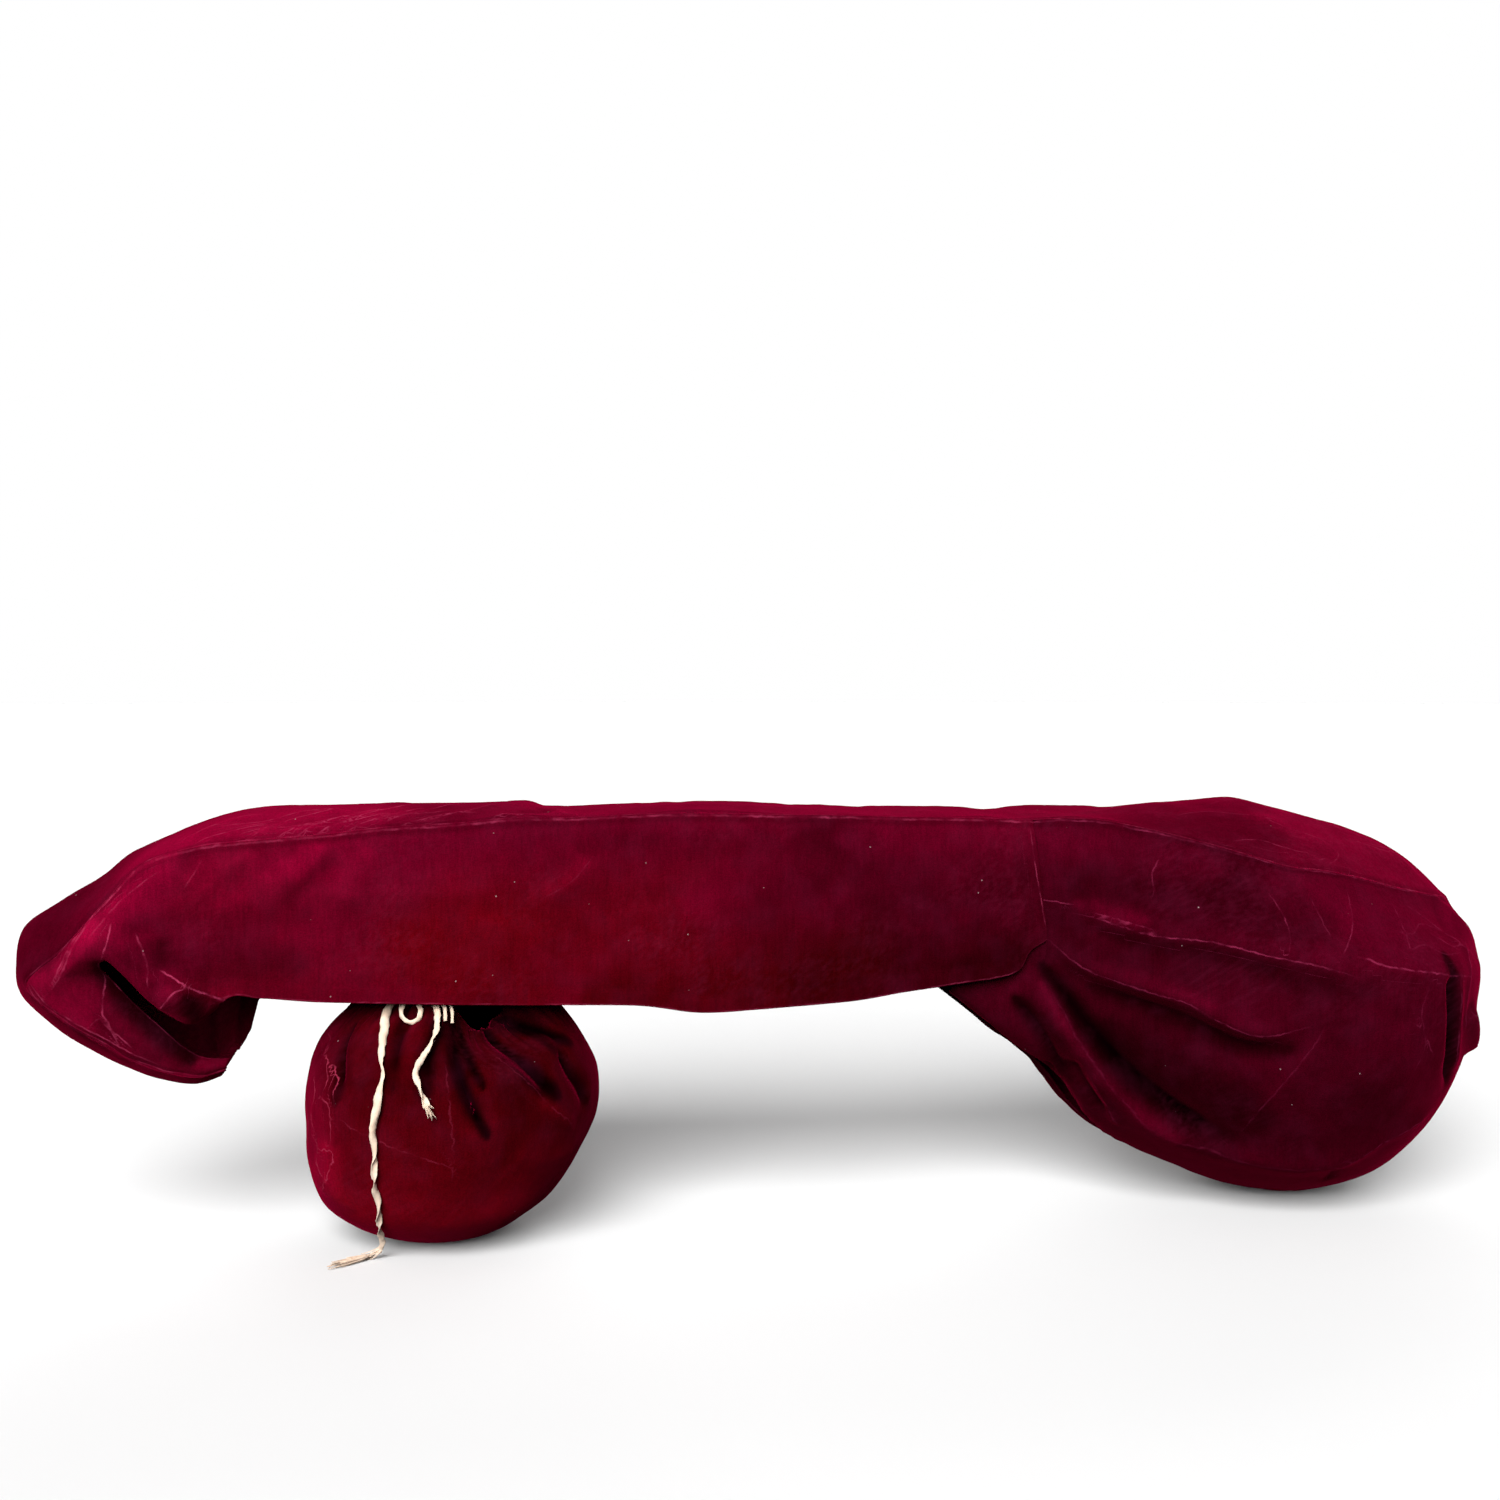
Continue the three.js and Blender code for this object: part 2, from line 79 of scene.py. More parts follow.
# Form of the panels: where they are widest as a share from seam to hem, how far they bulge, their
# depth, how often they are softened, and the shares beside the edges where the folds die away.
RIM_SHARE = 0.36
FLAP_RIM = 0.3
FLAP_RIM_OUT = 0.7
FLAP_BULGE = 1
BACK_BULGE = 0.05
FLAP_DEPTH = 150
FLAP_SOFTENING = 60
FLAP_HELD = 0.1
FLAP_END_HELD = 0.03
HEAD_START = -440
HEAD_WHOLE = -475
HEAD_SOFTENING = 8
BOWL_DEPTH = 330
BOWL_SOFTENING = 14
BOWL_HELD = 0.08
KEEL_HELD = 0.06
WAIST_ROWS = 6
STRIP_ROUNDNESS = 1.7
STRIP_WIDTH = 160
STRIP_COLUMNS = 56
STRIP_HELD = 0.08
STRIP_END_HELD = 0.02
STRIP_SEED = 7

# Camera of the photograph: distance, turn and height in front of the middle of the neck.
CAMERA_DISTANCE = 1620
CAMERA_YAW = 10
CAMERA_HEIGHT = 497
PHOTO_SIZE = 1500
PHOTO_FOCAL = 1760
PHOTO_HORIZON = 674
SENSOR = 36

# Neck stations from the waist seam to the pegs: x, height of the strip's middle, its sewn edge
# (y, z), the front hem (x, y, z) and the height of the back hem.
NECK = [
    (250, 366, 62, 363, 265, 68, 257, 257),
    (236, 366, 61, 363, 246, 68, 246, 246),
    (222, 367, 60, 364, 229, 69, 226, 226),
    (166, 369, 60, 366, 166, 69, 217, 218),
    (124, 370, 60, 367, 124, 69, 212, 214),
    (78, 371, 60, 369, 78, 69, 206, 211),
    (0, 374, 60, 371, 0, 71, 202, 208),
    (-57, 376, 62, 373, -57, 73, 201, 207),
    (-110, 377, 64, 373, -110, 74, 209, 208),
    (-172, 372, 66, 371, -172, 77, 212, 207),
    (-213, 379, 70, 372, -213, 80, 214, 207),
    (-272, 379, 75, 368, -272, 84, 217, 209),
    (-324, 380, 78, 366, -324, 86, 220, 207),
    (-380, 380, 80, 361, -380, 86, 223, 210),
]
# Head stations, over the top, down the end and back under to the mouth: middle of the strip
# (x, z), sewn edge (x, y, z), share and depth of the widest line, front lip and back edge (x, y, z).
HEAD = [
    (-429, 379, -434, 80, 357, 0.36, 86, -428, 85, 228, -426, 84, 210),
    (-462, 373, -470, 80, 354, 0.5, 87, -455, 84, 230, -440, 78, 204),
    (-490, 364, -498, 78, 348, 0.7, 86, -473, 54, 212, -445, 73, 199),
    (-512, 355, -518, 75, 341, 0.75, 85, -488, 48, 204, -446, 70, 195),
    (-530, 347, -533, 72, 330, 0.7, 83, -511, 64, 221, -447, 67, 190),
    (-547, 337, -548, 68, 313, 0.6, 80, -532, 74, 245, -448, 64, 185),
    (-572, 316, -566, 64, 293, 0.5, 76, -550, 72, 263, -449, 61, 180),
    (-602, 299, -588, 58, 268, 0.5, 71, -558, 68, 261, -450, 58, 175),
    (-630, 280, -609, 52, 251, 0.5, 66, -559, 62, 255, -452, 55, 171),
    (-637, 252, -619, 48, 239, 0.5, 62, -556, 55, 248, -453, 53, 168),
    (-634, 222, -611, 45, 225, 0.5, 58, -549, 50, 238, -454, 51, 166),
    (-608, 197, -592, 44, 208, 0.5, 54, -539, 46, 224, -455, 49, 164),
    (-577, 176, -568, 43, 192, 0.5, 50, -524, 41, 207, -456, 46, 162),
    (-546, 160, -539, 41, 173, 0.5, 45, -507, 36, 188, -457, 43, 161),
    (-518, 148, -511, 38, 160, 0.5, 40, -494, 32, 175, -457, 40, 161),
    (-492, 142, -484, 35, 154, 0.5, 37, -479, 30, 166, -457, 37, 162),
    (-470, 148, -462, 33, 159, 0.5, 35, -459, 30, 165, -459, 35, 163),
]
# Bowl sections: sewn edge, widest line and keel, each as x, y, z. First along the waist, then
# along the top (led by the middle of the top, x and z), then down the right end.
BOWL_SIDE = [
    (180, 50, 224, 180, 47, 218, 178, 42, 208),
    (228, 60, 260, 218, 55, 215, 214, 40, 180),
    (265, 67, 256, 252, 65, 215, 245, 36, 155),
    (260, 67, 292, 266, 72, 235, 278, 33, 133),
    (255, 66, 327, 274, 76, 258, 296, 28, 114),
]
BOWL_TOP = [
    (250, 366, 250, 62, 363, 284, 82, 277, 314, 22, 88),
    (305, 366, 300, 75, 364, 316, 96, 275, 336, 12, 67),
    (352, 368, 350, 92, 355, 355, 119, 269, 362, 4, 52),
    (395, 371, 391, 108, 345, 398, 143, 263, 405, 0, 33),
    (438, 374, 430, 120, 334, 440, 163, 254, 452, 0, 13),
    (472, 376, 468, 126, 323, 486, 178, 244, 500, 0, 4),
    (508, 368, 506, 124, 318, 530, 182, 238, 536, 0, 3),
    (547, 358, 543, 114, 310, 574, 175, 232, 570, 0, 8),
    (590, 346, 582, 98, 300, 612, 156, 229, 598, 0, 20),
    (629, 328, 622, 77, 291, 648, 128, 224, 624, 0, 43),
    (660, 306, 657, 54, 284, 678, 90, 219, 647, 0, 74),
    (687, 282, 684, 24, 278, 696, 49, 211, 670, 0, 108),
]
BOWL_END = [
    (690, 0, 279, 700, 33, 204, 678, 0, 120),
    (700, 0, 246, 704, 16, 194, 688, 0, 134),
    (704, 0, 212, 706, 0, 182, 704, 0, 155),
]

# Drawstring bag rings from the foot up: height, radius, x of the middle.
BAG = [
    (0, 3, -280),
    (0.4, 22, -280),
    (4, 45, -280),
    (10, 62, -281),
    (20, 80, -283),
    (38, 101, -281),
    (70, 118, -276),
    (100, 126, -270),
    (130, 127, -268),
    (158, 120, -269),
    (180, 108, -270),
    (198, 92, -269),
    (212, 72, -268),
    (220, 60, -267),
]
BAG_MOUTH = 220
BAG_SIDES = 330
BAG_GRAIN = 2.65
BAG_DEGREE = 2.2
BAG_SEED = 31
# Heights between which the bag's folds and its unevenness begin, and where the unevenness ends.
FOLDED_FROM = (20, 60)
CRUMPLED_FROM = (8, 40)
CRUMPLED_TO = (200, 222)
# The mouth sinks in front; its edge is turned in by steps of radius and height, and is painted dark
# as shade.
MOUTH_SINK_ANGLE = 27
MOUTH_SINK_DEPTH = 36
MOUTH_SINK_SPREAD = 30
MOUTH_SINK_SQUARENESS = 3
MOUTH_SINK_START = 150
MOUTH_TURN_IN = ((-2.5, 1.6), (-5.5, -1.0), (-7.5, -6.0), (-8.0, -12.0))
MOUTH_SHADE = -0.5
# Small pleats below the mouth: width, waves, heights between which they deepen, height, and painted
# shade in their hollows.
PLEAT_PITCH = 11
PLEAT_WAVES = 9
PLEATED = (174, 216)
PLEAT_RISE = 1.9
PLEAT_SHADE = 0.3
PLEAT_SEED = 41
# Gathers at the sides and back: angle from the front, depth, spread in degrees, length; and the
# share of their length after which they are full.
GATHERS = [
    (-156, 7, 8, 80),
    (-128, 8, 7, 90),
    (-101, 6, 7, 70),
    (-74, 7, 6, 80),
    (-26, 4, 5, 50),
    (92, 7, 7, 80),
    (124, 8, 8, 90),
    (160, 6, 8, 70),
]
GATHER_FULL = 0.7

# Folds: line on the cloth, half width on its left and on its right as it runs, height (a trough
# is negative and gets painted shade) and painted shine of the bent pile along its crease. Front
# panels are read in x and z.
BOWL_FOLDS = [
    (((252, 240), (257, 226), (273, 195), (295, 163), (319, 132), (343, 108), (363, 90), (397, 74),
      (445, 63), (494, 59), (560, 74)), 12, 16, 13, 0.1),
    (((256, 236), (267, 219), (284, 194), (303, 170), (329, 142), (356, 118), (390, 94), (416, 77),
      (450, 74)), 12, 9, -12, 0),
    (((232, 206), (238, 198), (263, 168), (277, 145), (287, 126)), 9, 8, -9, 0),
    (((288, 152), (296, 138), (311, 115), (329, 92)), 6, 6, -6, 0),
    (((302, 142), (321, 110), (341, 81)), 5, 5, 4, 0.2),
    (((277, 282), (305, 277), (346, 265), (391, 261), (438, 250), (469, 244), (513, 231)), 24, 6, 5, 0.55),
    (((296, 283), (322, 276), (349, 268)), 3, 3, 0.6, 0.35),
    (((500, 250), (515, 247), (530, 241), (580, 232), (641, 222)), 18, 6, 4, 0.5),
    (((258, 260), (263, 256), (280, 242), (300, 230), (321, 223), (351, 214), (375, 207), (394, 195),
      (421, 183), (441, 183), (475, 192)), 18, 6, 7, 0.42),
    (((300, 216), (368, 194), (415, 173), (452, 173)), 6, 15, -6, 0),
    (((480, 192), (465, 162), (441, 115), (428, 78)), 16, 8, 4, 0.12),
    (((600, 238), (601, 227), (604, 198), (609, 162), (622, 119)), 6, 6, -9, 0),
    (((589, 232), (591, 190), (599, 140)), 8, 9, 3, 0),
    (((614, 230), (616, 180), (626, 132)), 7, 6, 4, 0.25),
    (((634, 194), (650, 168), (657, 146)), 11, 11, 9, 0.15),
    (((356, 332), (349, 318), (348, 302), (345, 295)), 3, 3, 0.5, 0.26),
    (((441, 304), (450, 284), (451, 265), (447, 252)), 3, 3, 0.6, 0.32),
    (((521, 307), (516, 292), (510, 272), (491, 249)), 3, 4, 0.6, 0.3),
    (((255, 293), (268, 291), (284, 289)), 2, 2, 0.4, 0.4),
    (((553, 194), (566, 186), (578, 169), (586, 158)), 4, 3, 0.6, 0.25),
    (((494, 59), (522, 58), (552, 75), (586, 89), (616, 104)), 7, 6, 3, 0.35),
    (((526, 30), (516, 54)), 4, 6, -2, 0.35),
    (((655, 250), (642, 232), (632, 212), (627, 172)), 4, 4, 1.0, 0.35),
    (((590, 286), (604, 276), (624, 258), (652, 236)), 4, 4, 0.5, 0.25),
    (((548, 268), (574, 262), (596, 268), (628, 256)), 5, 4, 0.8, 0.14),
    (((560, 250), (584, 252), (604, 242), (636, 240)), 5, 4, 0.8, 0.14),
    (((573, 290), (567, 268), (562, 246)), 3, 3, 0.6, 0.18),
    (((600, 262), (622, 246), (640, 244), (662, 232)), 4, 4, 0.8, 0.22),
    (((478, 300), (482, 282), (487, 262)), 4, 4, 0.6, 0.14),
    (((576, 224), (566, 200), (572, 170), (560, 140)), 4, 4, 0.6, 0.14),
    (((636, 276), (660, 260), (680, 246), (694, 228)), 17, 16, 9, 0),
    (((540, 200), (560, 150), (562, 100)), 16, 18, 3, 0),
    (((400, 240), (470, 222), (540, 214)), 14, 16, -3, 0),
]
BOWL_BACK_FOLDS = [
    (((256, 230), (296, 166), (345, 112), (410, 78), (500, 62)), 14, 20, 11, 0.1),
    (((268, 250), (330, 200), (420, 170), (500, 176)), 20, 8, 7, 0.35),
    (((290, 290), (380, 272), (480, 250), (580, 236)), 20, 7, 4, 0.45),
    (((330, 170), (380, 132), (440, 108)), 10, 12, -8, 0),
    (((600, 240), (612, 190), (628, 130)), 8, 8, -6, 0),
    (((450, 306), (458, 276), (452, 240)), 3, 3, 0.5, 0.5),
    (((540, 290), (560, 250), (556, 200)), 3, 3, 0.5, 0.4),
    (((360, 150), (440, 130), (520, 150)), 16, 16, 5, 0),
    (((300, 332), (322, 312), (330, 290)), 3, 3, 0.5, 0.3),
    (((400, 320), (412, 296), (404, 276)), 4, 3, 0.6, 0.3),
    (((612, 282), (634, 262), (656, 250)), 4, 4, 0.8, 0.3),
    (((480, 200), (500, 160), (494, 120)), 12, 9, 4, 0.16),
    (((560, 180), (590, 150), (600, 112)), 8, 8, 3, 0.2),
    (((250, 214), (276, 176), (300, 140)), 8, 8, -7, 0),
]
NECK_FOLDS = [
    (((-512, 254), (-507, 252), (-497, 247), (-486, 240), (-472, 234), (-457, 230), (-430, 228)),
     5, 4, 3, 0.75),
    (((-484, 241), (-497, 234), (-507, 223), (-512, 219)), 4, 4, 2, 0.65),
    (((-512, 344), (-524, 338), (-542, 319), (-556, 303), (-570, 287), (-581, 267),
      (-590, 252), (-604, 232)),
     5, 5, 1.6, 0.4),
    (((-528, 342), (-548, 322), (-566, 302), (-582, 280), (-594, 258)), 3, 3, 0.4, 0.3),
    (((-506, 336), (-526, 322), (-546, 302), (-566, 276)), 3, 3, 0.5, 0.26),
    (((-560, 296), (-574, 276), (-588, 250), (-606, 226)), 3, 3, 0.5, 0.3),
    (((-547, 292), (-548, 287), (-552, 270), (-559, 257)), 4, 4, 1.0, 0.55),
    (((-559, 252), (-557, 241), (-559, 215), (-554, 206), (-550, 194), (-545, 183)), 3, 3, 0.6, 0.5),
    (((-528, 284), (-518, 258), (-517, 238)), 5, 5, 2.2, 0.55),
    (((-508, 280), (-505, 262), (-503, 250)), 8, 8, -4, 0),
    (((-571, 201), (-561, 210), (-555, 203), (-534, 181)), 3, 3, 0.6, 0.45),
    (((-620, 246), (-602, 221), (-578, 204), (-560, 193), (-537, 179), (-512, 165)), 4, 4, 0.8, 0.5),
    (((-396, 313), (-314, 314), (-214, 312)), 22, 22, 3, 0),
    (((-369, 356), (-384, 338), (-404, 319)), 10, 12, 2.6, 0),
    (((-360, 346), (-388, 324), (-414, 300)), 9, 10, -1.8, 0),
    (((-430, 352), (-462, 330), (-490, 300)), 10, 12, 2.4, 0),
    (((-474, 344), (-480, 333), (-488, 320)), 9, 9, 2.2, 0.15),
    (((-330, 352), (-350, 328), (-356, 300)), 12, 14, 2.0, 0),
    (((-150, 340), (-170, 318), (-196, 304)), 9, 10, 2.2, 0.1),
    (((-236, 300), (-240, 260), (-238, 214)), 26, 26, 2.4, 0),
    (((-96, 310), (-92, 260), (-95, 206)), 30, 30, 2.6, 0),
    (((74, 320), (80, 270), (78, 210)), 26, 30, 2.4, 0),
    (((176, 330), (184, 290), (182, 230)), 24, 24, 2.4, 0),
    (((120, 262), (170, 272), (230, 288)), 10, 10, 1.6, 0),
    (((214, 334), (236, 300), (246, 262)), 14, 16, 2.4, 0),
    (((247, 360), (250, 326), (256, 292), (261, 262)), 3, 3, 0.3, 0.34),
]
NECK_BACK_FOLDS = [
    (((-500, 330), (-420, 300), (-330, 290)), 20, 26, 4, 0),
    (((-250, 350), (-262, 290), (-258, 220)), 24, 24, 3, 0),
    (((-60, 352), (-70, 300), (-64, 220)), 26, 26, 3, 0),
    (((120, 345), (110, 290), (122, 225)), 24, 24, 3, 0),
    (((-420, 340), (-400, 322), (-372, 312)), 4, 4, 0.6, 0.4),
    (((20, 330), (60, 300), (70, 262)), 4, 4, 0.6, 0.35),
    (((190, 340), (214, 300), (240, 270)), 14, 14, 4, 0.1),
    (((-560, 260), (-540, 230), (-500, 206)), 8, 8, 3, 0.3),
    (((-490, 226), (-482, 200), (-478, 172), (-476, 150)), 7, 6, 9, 0),
    (((-466, 224), (-462, 200), (-464, 176), (-462, 150)), 6, 6, -8, 0),
    (((-520, 340), (-540, 310), (-560, 286)), 5, 5, 1.2, 0.34),
    (((-470, 330), (-486, 300), (-480, 268)), 5, 5, 1.4, 0.3),
    (((-350, 350), (-366, 322), (-392, 304)), 9, 10, 2.6, 0.12),
    (((-180, 346), (-200, 322), (-232, 308)), 9, 10, 2.4, 0.1),
    (((-30, 300), (-10, 270), (-16, 240)), 10, 12, 2.2, 0.08),
    (((-330, 250), (-290, 240), (-240, 244)), 8, 8, 1.6, 0.14),
    (((150, 300), (176, 276), (180, 246)), 10, 10, 2.4, 0.1),
]
# The top is read in x and y.
TOP_FOLDS = [
    (((-376, -80), (-342, -50), (-300, -12)), 6, 5, 2.2, 0.46),
    (((-402, -80), (-368, -60), (-326, -30)), 5, 6, 2.0, 0.46),
    (((-452, -70), (-420, -66), (-376, -70)), 5, 5, 1.4, 0.3),
    (((-352, -72), (-300, -52), (-262, -40)), 7, 6, 1.6, 0.25),
    (((-440, -78), (-404, -52), (-360, -26)), 5, 5, 1.8, 0.4),
    (((-420, -81), (-390, -66), (-350, -54)), 4, 5, 1.6, 0.4),
    (((-388, -81), (-356, -66), (-318, -44)), 4, 4, 1.6, 0.44),
    (((-362, -80), (-330, -60), (-290, -26)), 4, 4, 1.6, 0.4),
    (((-318, -77), (-284, -60), (-246, -48)), 5, 4, 1.6, 0.36),
    (((-486, -74), (-456, -62), (-416, -58)), 4, 4, 1.2, 0.36),
    (((-500, -60), (-470, -40), (-430, -26)), 5, 5, 1.4, 0.3),
    (((-238, -70), (-214, -56), (-196, -50)), 4, 5, 1.8, 0.42),
    (((-220, -66), (-196, -40), (-184, -18)), 9, 7, -3.0, 0.1),
    (((-168, -62), (-178, -30), (-176, 10)), 10, 10, 2.0, 0.1),
    (((498, -108), (520, -112), (540, -106)), 4, 4, 1.4, 0.18),
    (((508, -118), (528, -100), (536, -84)), 4, 4, 1.2, 0.14),
    (((430, -30), (470, -20), (520, -32)), 16, 16, 3.0, 0.1),
    (((420, -104), (452, -98), (486, -106), (512, -102)), 5, 4, 1.4, 0.24),
    (((462, -56), (496, -72), (532, -80)), 7, 6, 2.0, 0.16),
    (((520, -16), (560, -36), (600, -40), (646, -52)), 8, 7, 2.2, 0.18),
    (((380, -62), (424, -50), (470, -58), (504, -50)), 9, 8, 2.2, 0.12),
    (((-470, -44), (-430, -52), (-396, -34), (-352, -30)), 6, 5, 1.6, 0.32),
    (((-330, -70), (-290, -40), (-262, -8)), 6, 6, 1.8, 0.36),
    (((-300, -72), (-262, -50), (-226, -12)), 6, 6, 1.4, 0.24),
    (((556, -60), (590, -52), (640, -34)), 9, 10, 2.4, 0.15),
    (((300, -30), (360, -16), (420, -22)), 18, 18, 2.4, 0),
    (((-120, -20), (-40, -26), (60, -18)), 16, 16, 1.6, 0),
    (((110, 22), (160, 12), (230, 20)), 14, 14, 1.6, 0),
    (((-400, 62), (-350, 44), (-300, 18)), 6, 6, 1.8, 0.3),
    (((-450, 50), (-410, 40), (-372, 44)), 5, 5, 1.4, 0.24),
    (((-250, 62), (-214, 44), (-190, 20)), 8, 7, 2.0, 0.16),
    (((-60, 46), (-10, 34), (50, 42)), 12, 12, 1.6, 0.08),
    (((260, 34), (310, 46), (360, 40)), 12, 12, 2.0, 0.08),
    (((430, 92), (470, 98), (512, 84)), 5, 5, 1.4, 0.2),
    (((480, 40), (530, 60), (590, 56)), 8, 8, 2.2, 0.16),
    (((600, 30), (630, 44), (652, 40)), 6, 6, 1.6, 0.18),
]
# The bag is read in degrees from the front and in height; its strokes, in arc length and height.
BAG_FOLDS = [
    (((-2, 206), (-1, 190), (0, 175), (3, 155), (7, 132), (11, 117)), 8, 8, -11, 0),
    (((3, 192), (4, 180), (8, 166), (9, 155)), 6, 6, -6, 0),
    (((25, 192), (27, 180), (28, 172), (32, 157), (39, 142)), 9, 8, -12, 0),
    (((41, 194), (45, 188), (52, 184), (61, 176)), 7, 7, -9, 0),
    (((50, 170), (52, 163), (54, 147), (64, 122)), 9, 9, -8, 0),
    (((17, 184), (20, 171), (29, 150), (38, 127), (54, 102)), 12, 9, 6, 0.22),
    (((-60, 196), (-57, 181), (-52, 158), (-51, 142)), 8, 9, -8, 0),
    (((-46, 204), (-44, 180), (-40, 150)), 9, 9, 4, 0),
    (((-32, 206), (-30, 198), (-26, 183), (-25, 160)), 7, 8, -7, 0),
    (((-9, 204), (-10, 187), (-11, 173), (-11, 157)), 8, 8, -8, 0),
    (((-80, 192), (-79, 181), (-65, 167), (-56, 158), (-52, 138), (-49, 126)), 3, 5, 1.6, 0.85),
    (((-70, 176), (-62, 164), (-58, 150), (-60, 136)), 3, 4, 1.0, 0.75),
    (((-64, 134), (-55, 132), (-52, 110), (-53, 99)), 3, 3, 1.0, 0.75),
    (((-64, 92), (-50, 93), (-53, 74), (-60, 53)), 4, 4, 1.4, 0.75),
    (((-74, 150), (-66, 140), (-68, 118), (-62, 102)), 3, 4, 1.2, 0.75),
    (((-82, 128), (-72, 112), (-74, 84)), 3, 4, 1.2, 0.65),
    (((-70, 104), (-61, 96), (-62, 80), (-54, 66)), 3, 3, 0.8, 0.6),
    (((-50, 124), (-36, 115), (-27, 109), (-14, 100), (4, 87)), 3, 3, 0.4, 0.26),
    (((-4, 180), (-3, 150), (-2, 127), (0, 100), (2, 68)), 3, 3, 0.4, 0.16),
    (((-72, 80), (-60, 60), (-40, 44)), 10, 8, 3, 0.1),
    (((20, 96), (40, 84), (62, 82)), 16, 14, 3, 0),
    (((110, 180), (118, 140), (130, 90)), 8, 8, 3, 0.25),
    (((-130, 176), (-138, 130), (-130, 84)), 8, 8, 3, 0.25),
    (((165, 170), (172, 120), (168, 70)), 8, 8, 3, 0.2),
]
# How folds and strokes fall off to their sides and ends, and how far a crease is looked for.
TROUGH_SHARPNESS = 1.7
RIDGE_SHARPNESS = 1.35
# Painted shade in a trough, for each millimetre of its depth.
TROUGH_SHADE = 0.065
FOLD_REACH = 3
FOLD_FADE = 0.2
LINE_STEPS = 6
CREASE_REACH = 9.0
STROKE_SHARPNESS = 2.4
STROKE_TIP = 0.45
# Unevenness of used velvet, as height and wavelength of each layer; painted highlight where the cloth
# bends outward.
CRUMPLE = ((1.0, 125), (0.42, 50), (0.09, 19))
BEND_SHINE = 0.3
BEND_SPREAD = 3
BEND_LIMIT = 0.6
# Seams: pale line, partly worn pile and partly painted highlight; painted shade beside it; ripples
# that the stitches draw in, and the groove they lie in.
SEAM_LINE = 0.9
SEAM_GLEAM = 0.34
SEAM_SHADE = -0.22
SEAM_SHADE_AT = 4
SEAM_SHADE_WIDTH = 2.4
SEAM_FLAT = 2
PUCKER_PITCH = 34
PUCKER_WAVES = 9
PUCKER_REACH = 14
PUCKER_RISE = 0.4
PUCKER_SEED = 20
STITCH_SINK = 0.6
STITCH_WIDTH = 3
# Hems: pale line at the edge, partly worn pile and partly painted highlight, and the raised turned
# hem; and the wear that varies the pale lines along hems and seams.
HEM_GLEAM = 0.3
HEM_DEPTH = 13
HEM_RISE = 0.5
HEM_SOFTNESS = 3
WEAR_PITCH = 60
WEAR_MEAN = 0.6
WEAR_CHANGE = 0.5
WEAR_LEAST = 0.15
WEAR_SEED = 30
# What the back of the cloth shows instead of the pile's marks: a little darker and warmer, partly as
# the duller back of velvet and partly as painted shade inside the cover.
WRONG_SIDE = {"painted_light_and_nap": -0.2, "warm": 0.1, "crease": 0, "crease_away": CREASE_REACH}

# Painted light and shade: where light falls and fades, and shade in troughs, slits and under the flap,
# with some lighter or darker lay of the pile; and how warm the pile looks: line, width, tone, warmth.
NECK_STROKES = [
    (((-590, 254), (-580, 268), (-563, 290)), 12, 0.25, -0.2),
    (((-572, 280), (-540, 314), (-500, 348)), 22, 0.42, -0.2),
    (((-536, 288), (-460, 294), (-390, 298)), 12, -0.2, 0),
    (((-560, 258), (-557, 250), (-550, 239), (-540, 224), (-525, 206), (-508, 187), (-490, 168)),
     10, -1.5, 0),
    (((-480, 330), (-440, 348)), 24, 0.12, 0),
    (((-536, 262), (-476, 264), (-396, 255)), 19, -0.3, 0),
    (((-487, 230), (-484, 215)), 9, -1.3, 0),
    (((-500, 239), (-512, 228)), 6, 0.2, 0),
    (((-612, 240), (-590, 222), (-572, 206)), 24, 0.44, 0),
    (((-560, 210), (-540, 196), (-520, 180)), 20, -0.06, 0),
    (((-420, 340), (-250, 346), (-60, 350)), 34, 0.0, -0.1),
    (((-380, 351), (-420, 326), (-460, 306)), 10, 0.16, 0),
    (((-356, 348), (-392, 324), (-420, 300)), 10, -0.1, 0),
    (((-480, 306), (-330, 300), (-220, 290)), 76, 0.12, 0.2),
    (((-60, 296), (0, 290), (70, 284)), 40, 0.22, -0.4),
    (((-160, 348), (-20, 350), (100, 350)), 18, -0.17, 0),
    (((-300, 270), (-80, 262), (80, 248)), 82, -0.06, 0.74),
    (((20, 280), (300, 270)), 130, -0.5, 0),
    (((76, 352), (260, 354)), 24, 0.3, -0.2),
    (((-480, 236), (-300, 226), (-200, 220)), 34, -0.08, 0.3),
    (((-150, 217), (0, 210), (280, 240)), 34, -0.34, 0.3),
    (((190, 236), (235, 244)), 20, -0.2, 0),
    (((-430, 338), (-385, 342), (-345, 344)), 22, 0.16, 0),
    (((-140, 342), (-172, 320), (-206, 306)), 9, 0.12, 0),
]
NECK_BACK_STROKES = [
    (((-560, 300), (-380, 310), (-200, 300)), 60, 0.3, 0.1),
    (((-120, 250), (20, 262), (160, 250)), 54, 0.22, 0.4),
    (((-420, 230), (-150, 222), (200, 236)), 26, -0.2, 0.2),
    (((60, 340), (160, 330), (240, 300)), 30, 0.2, -0.1),
]
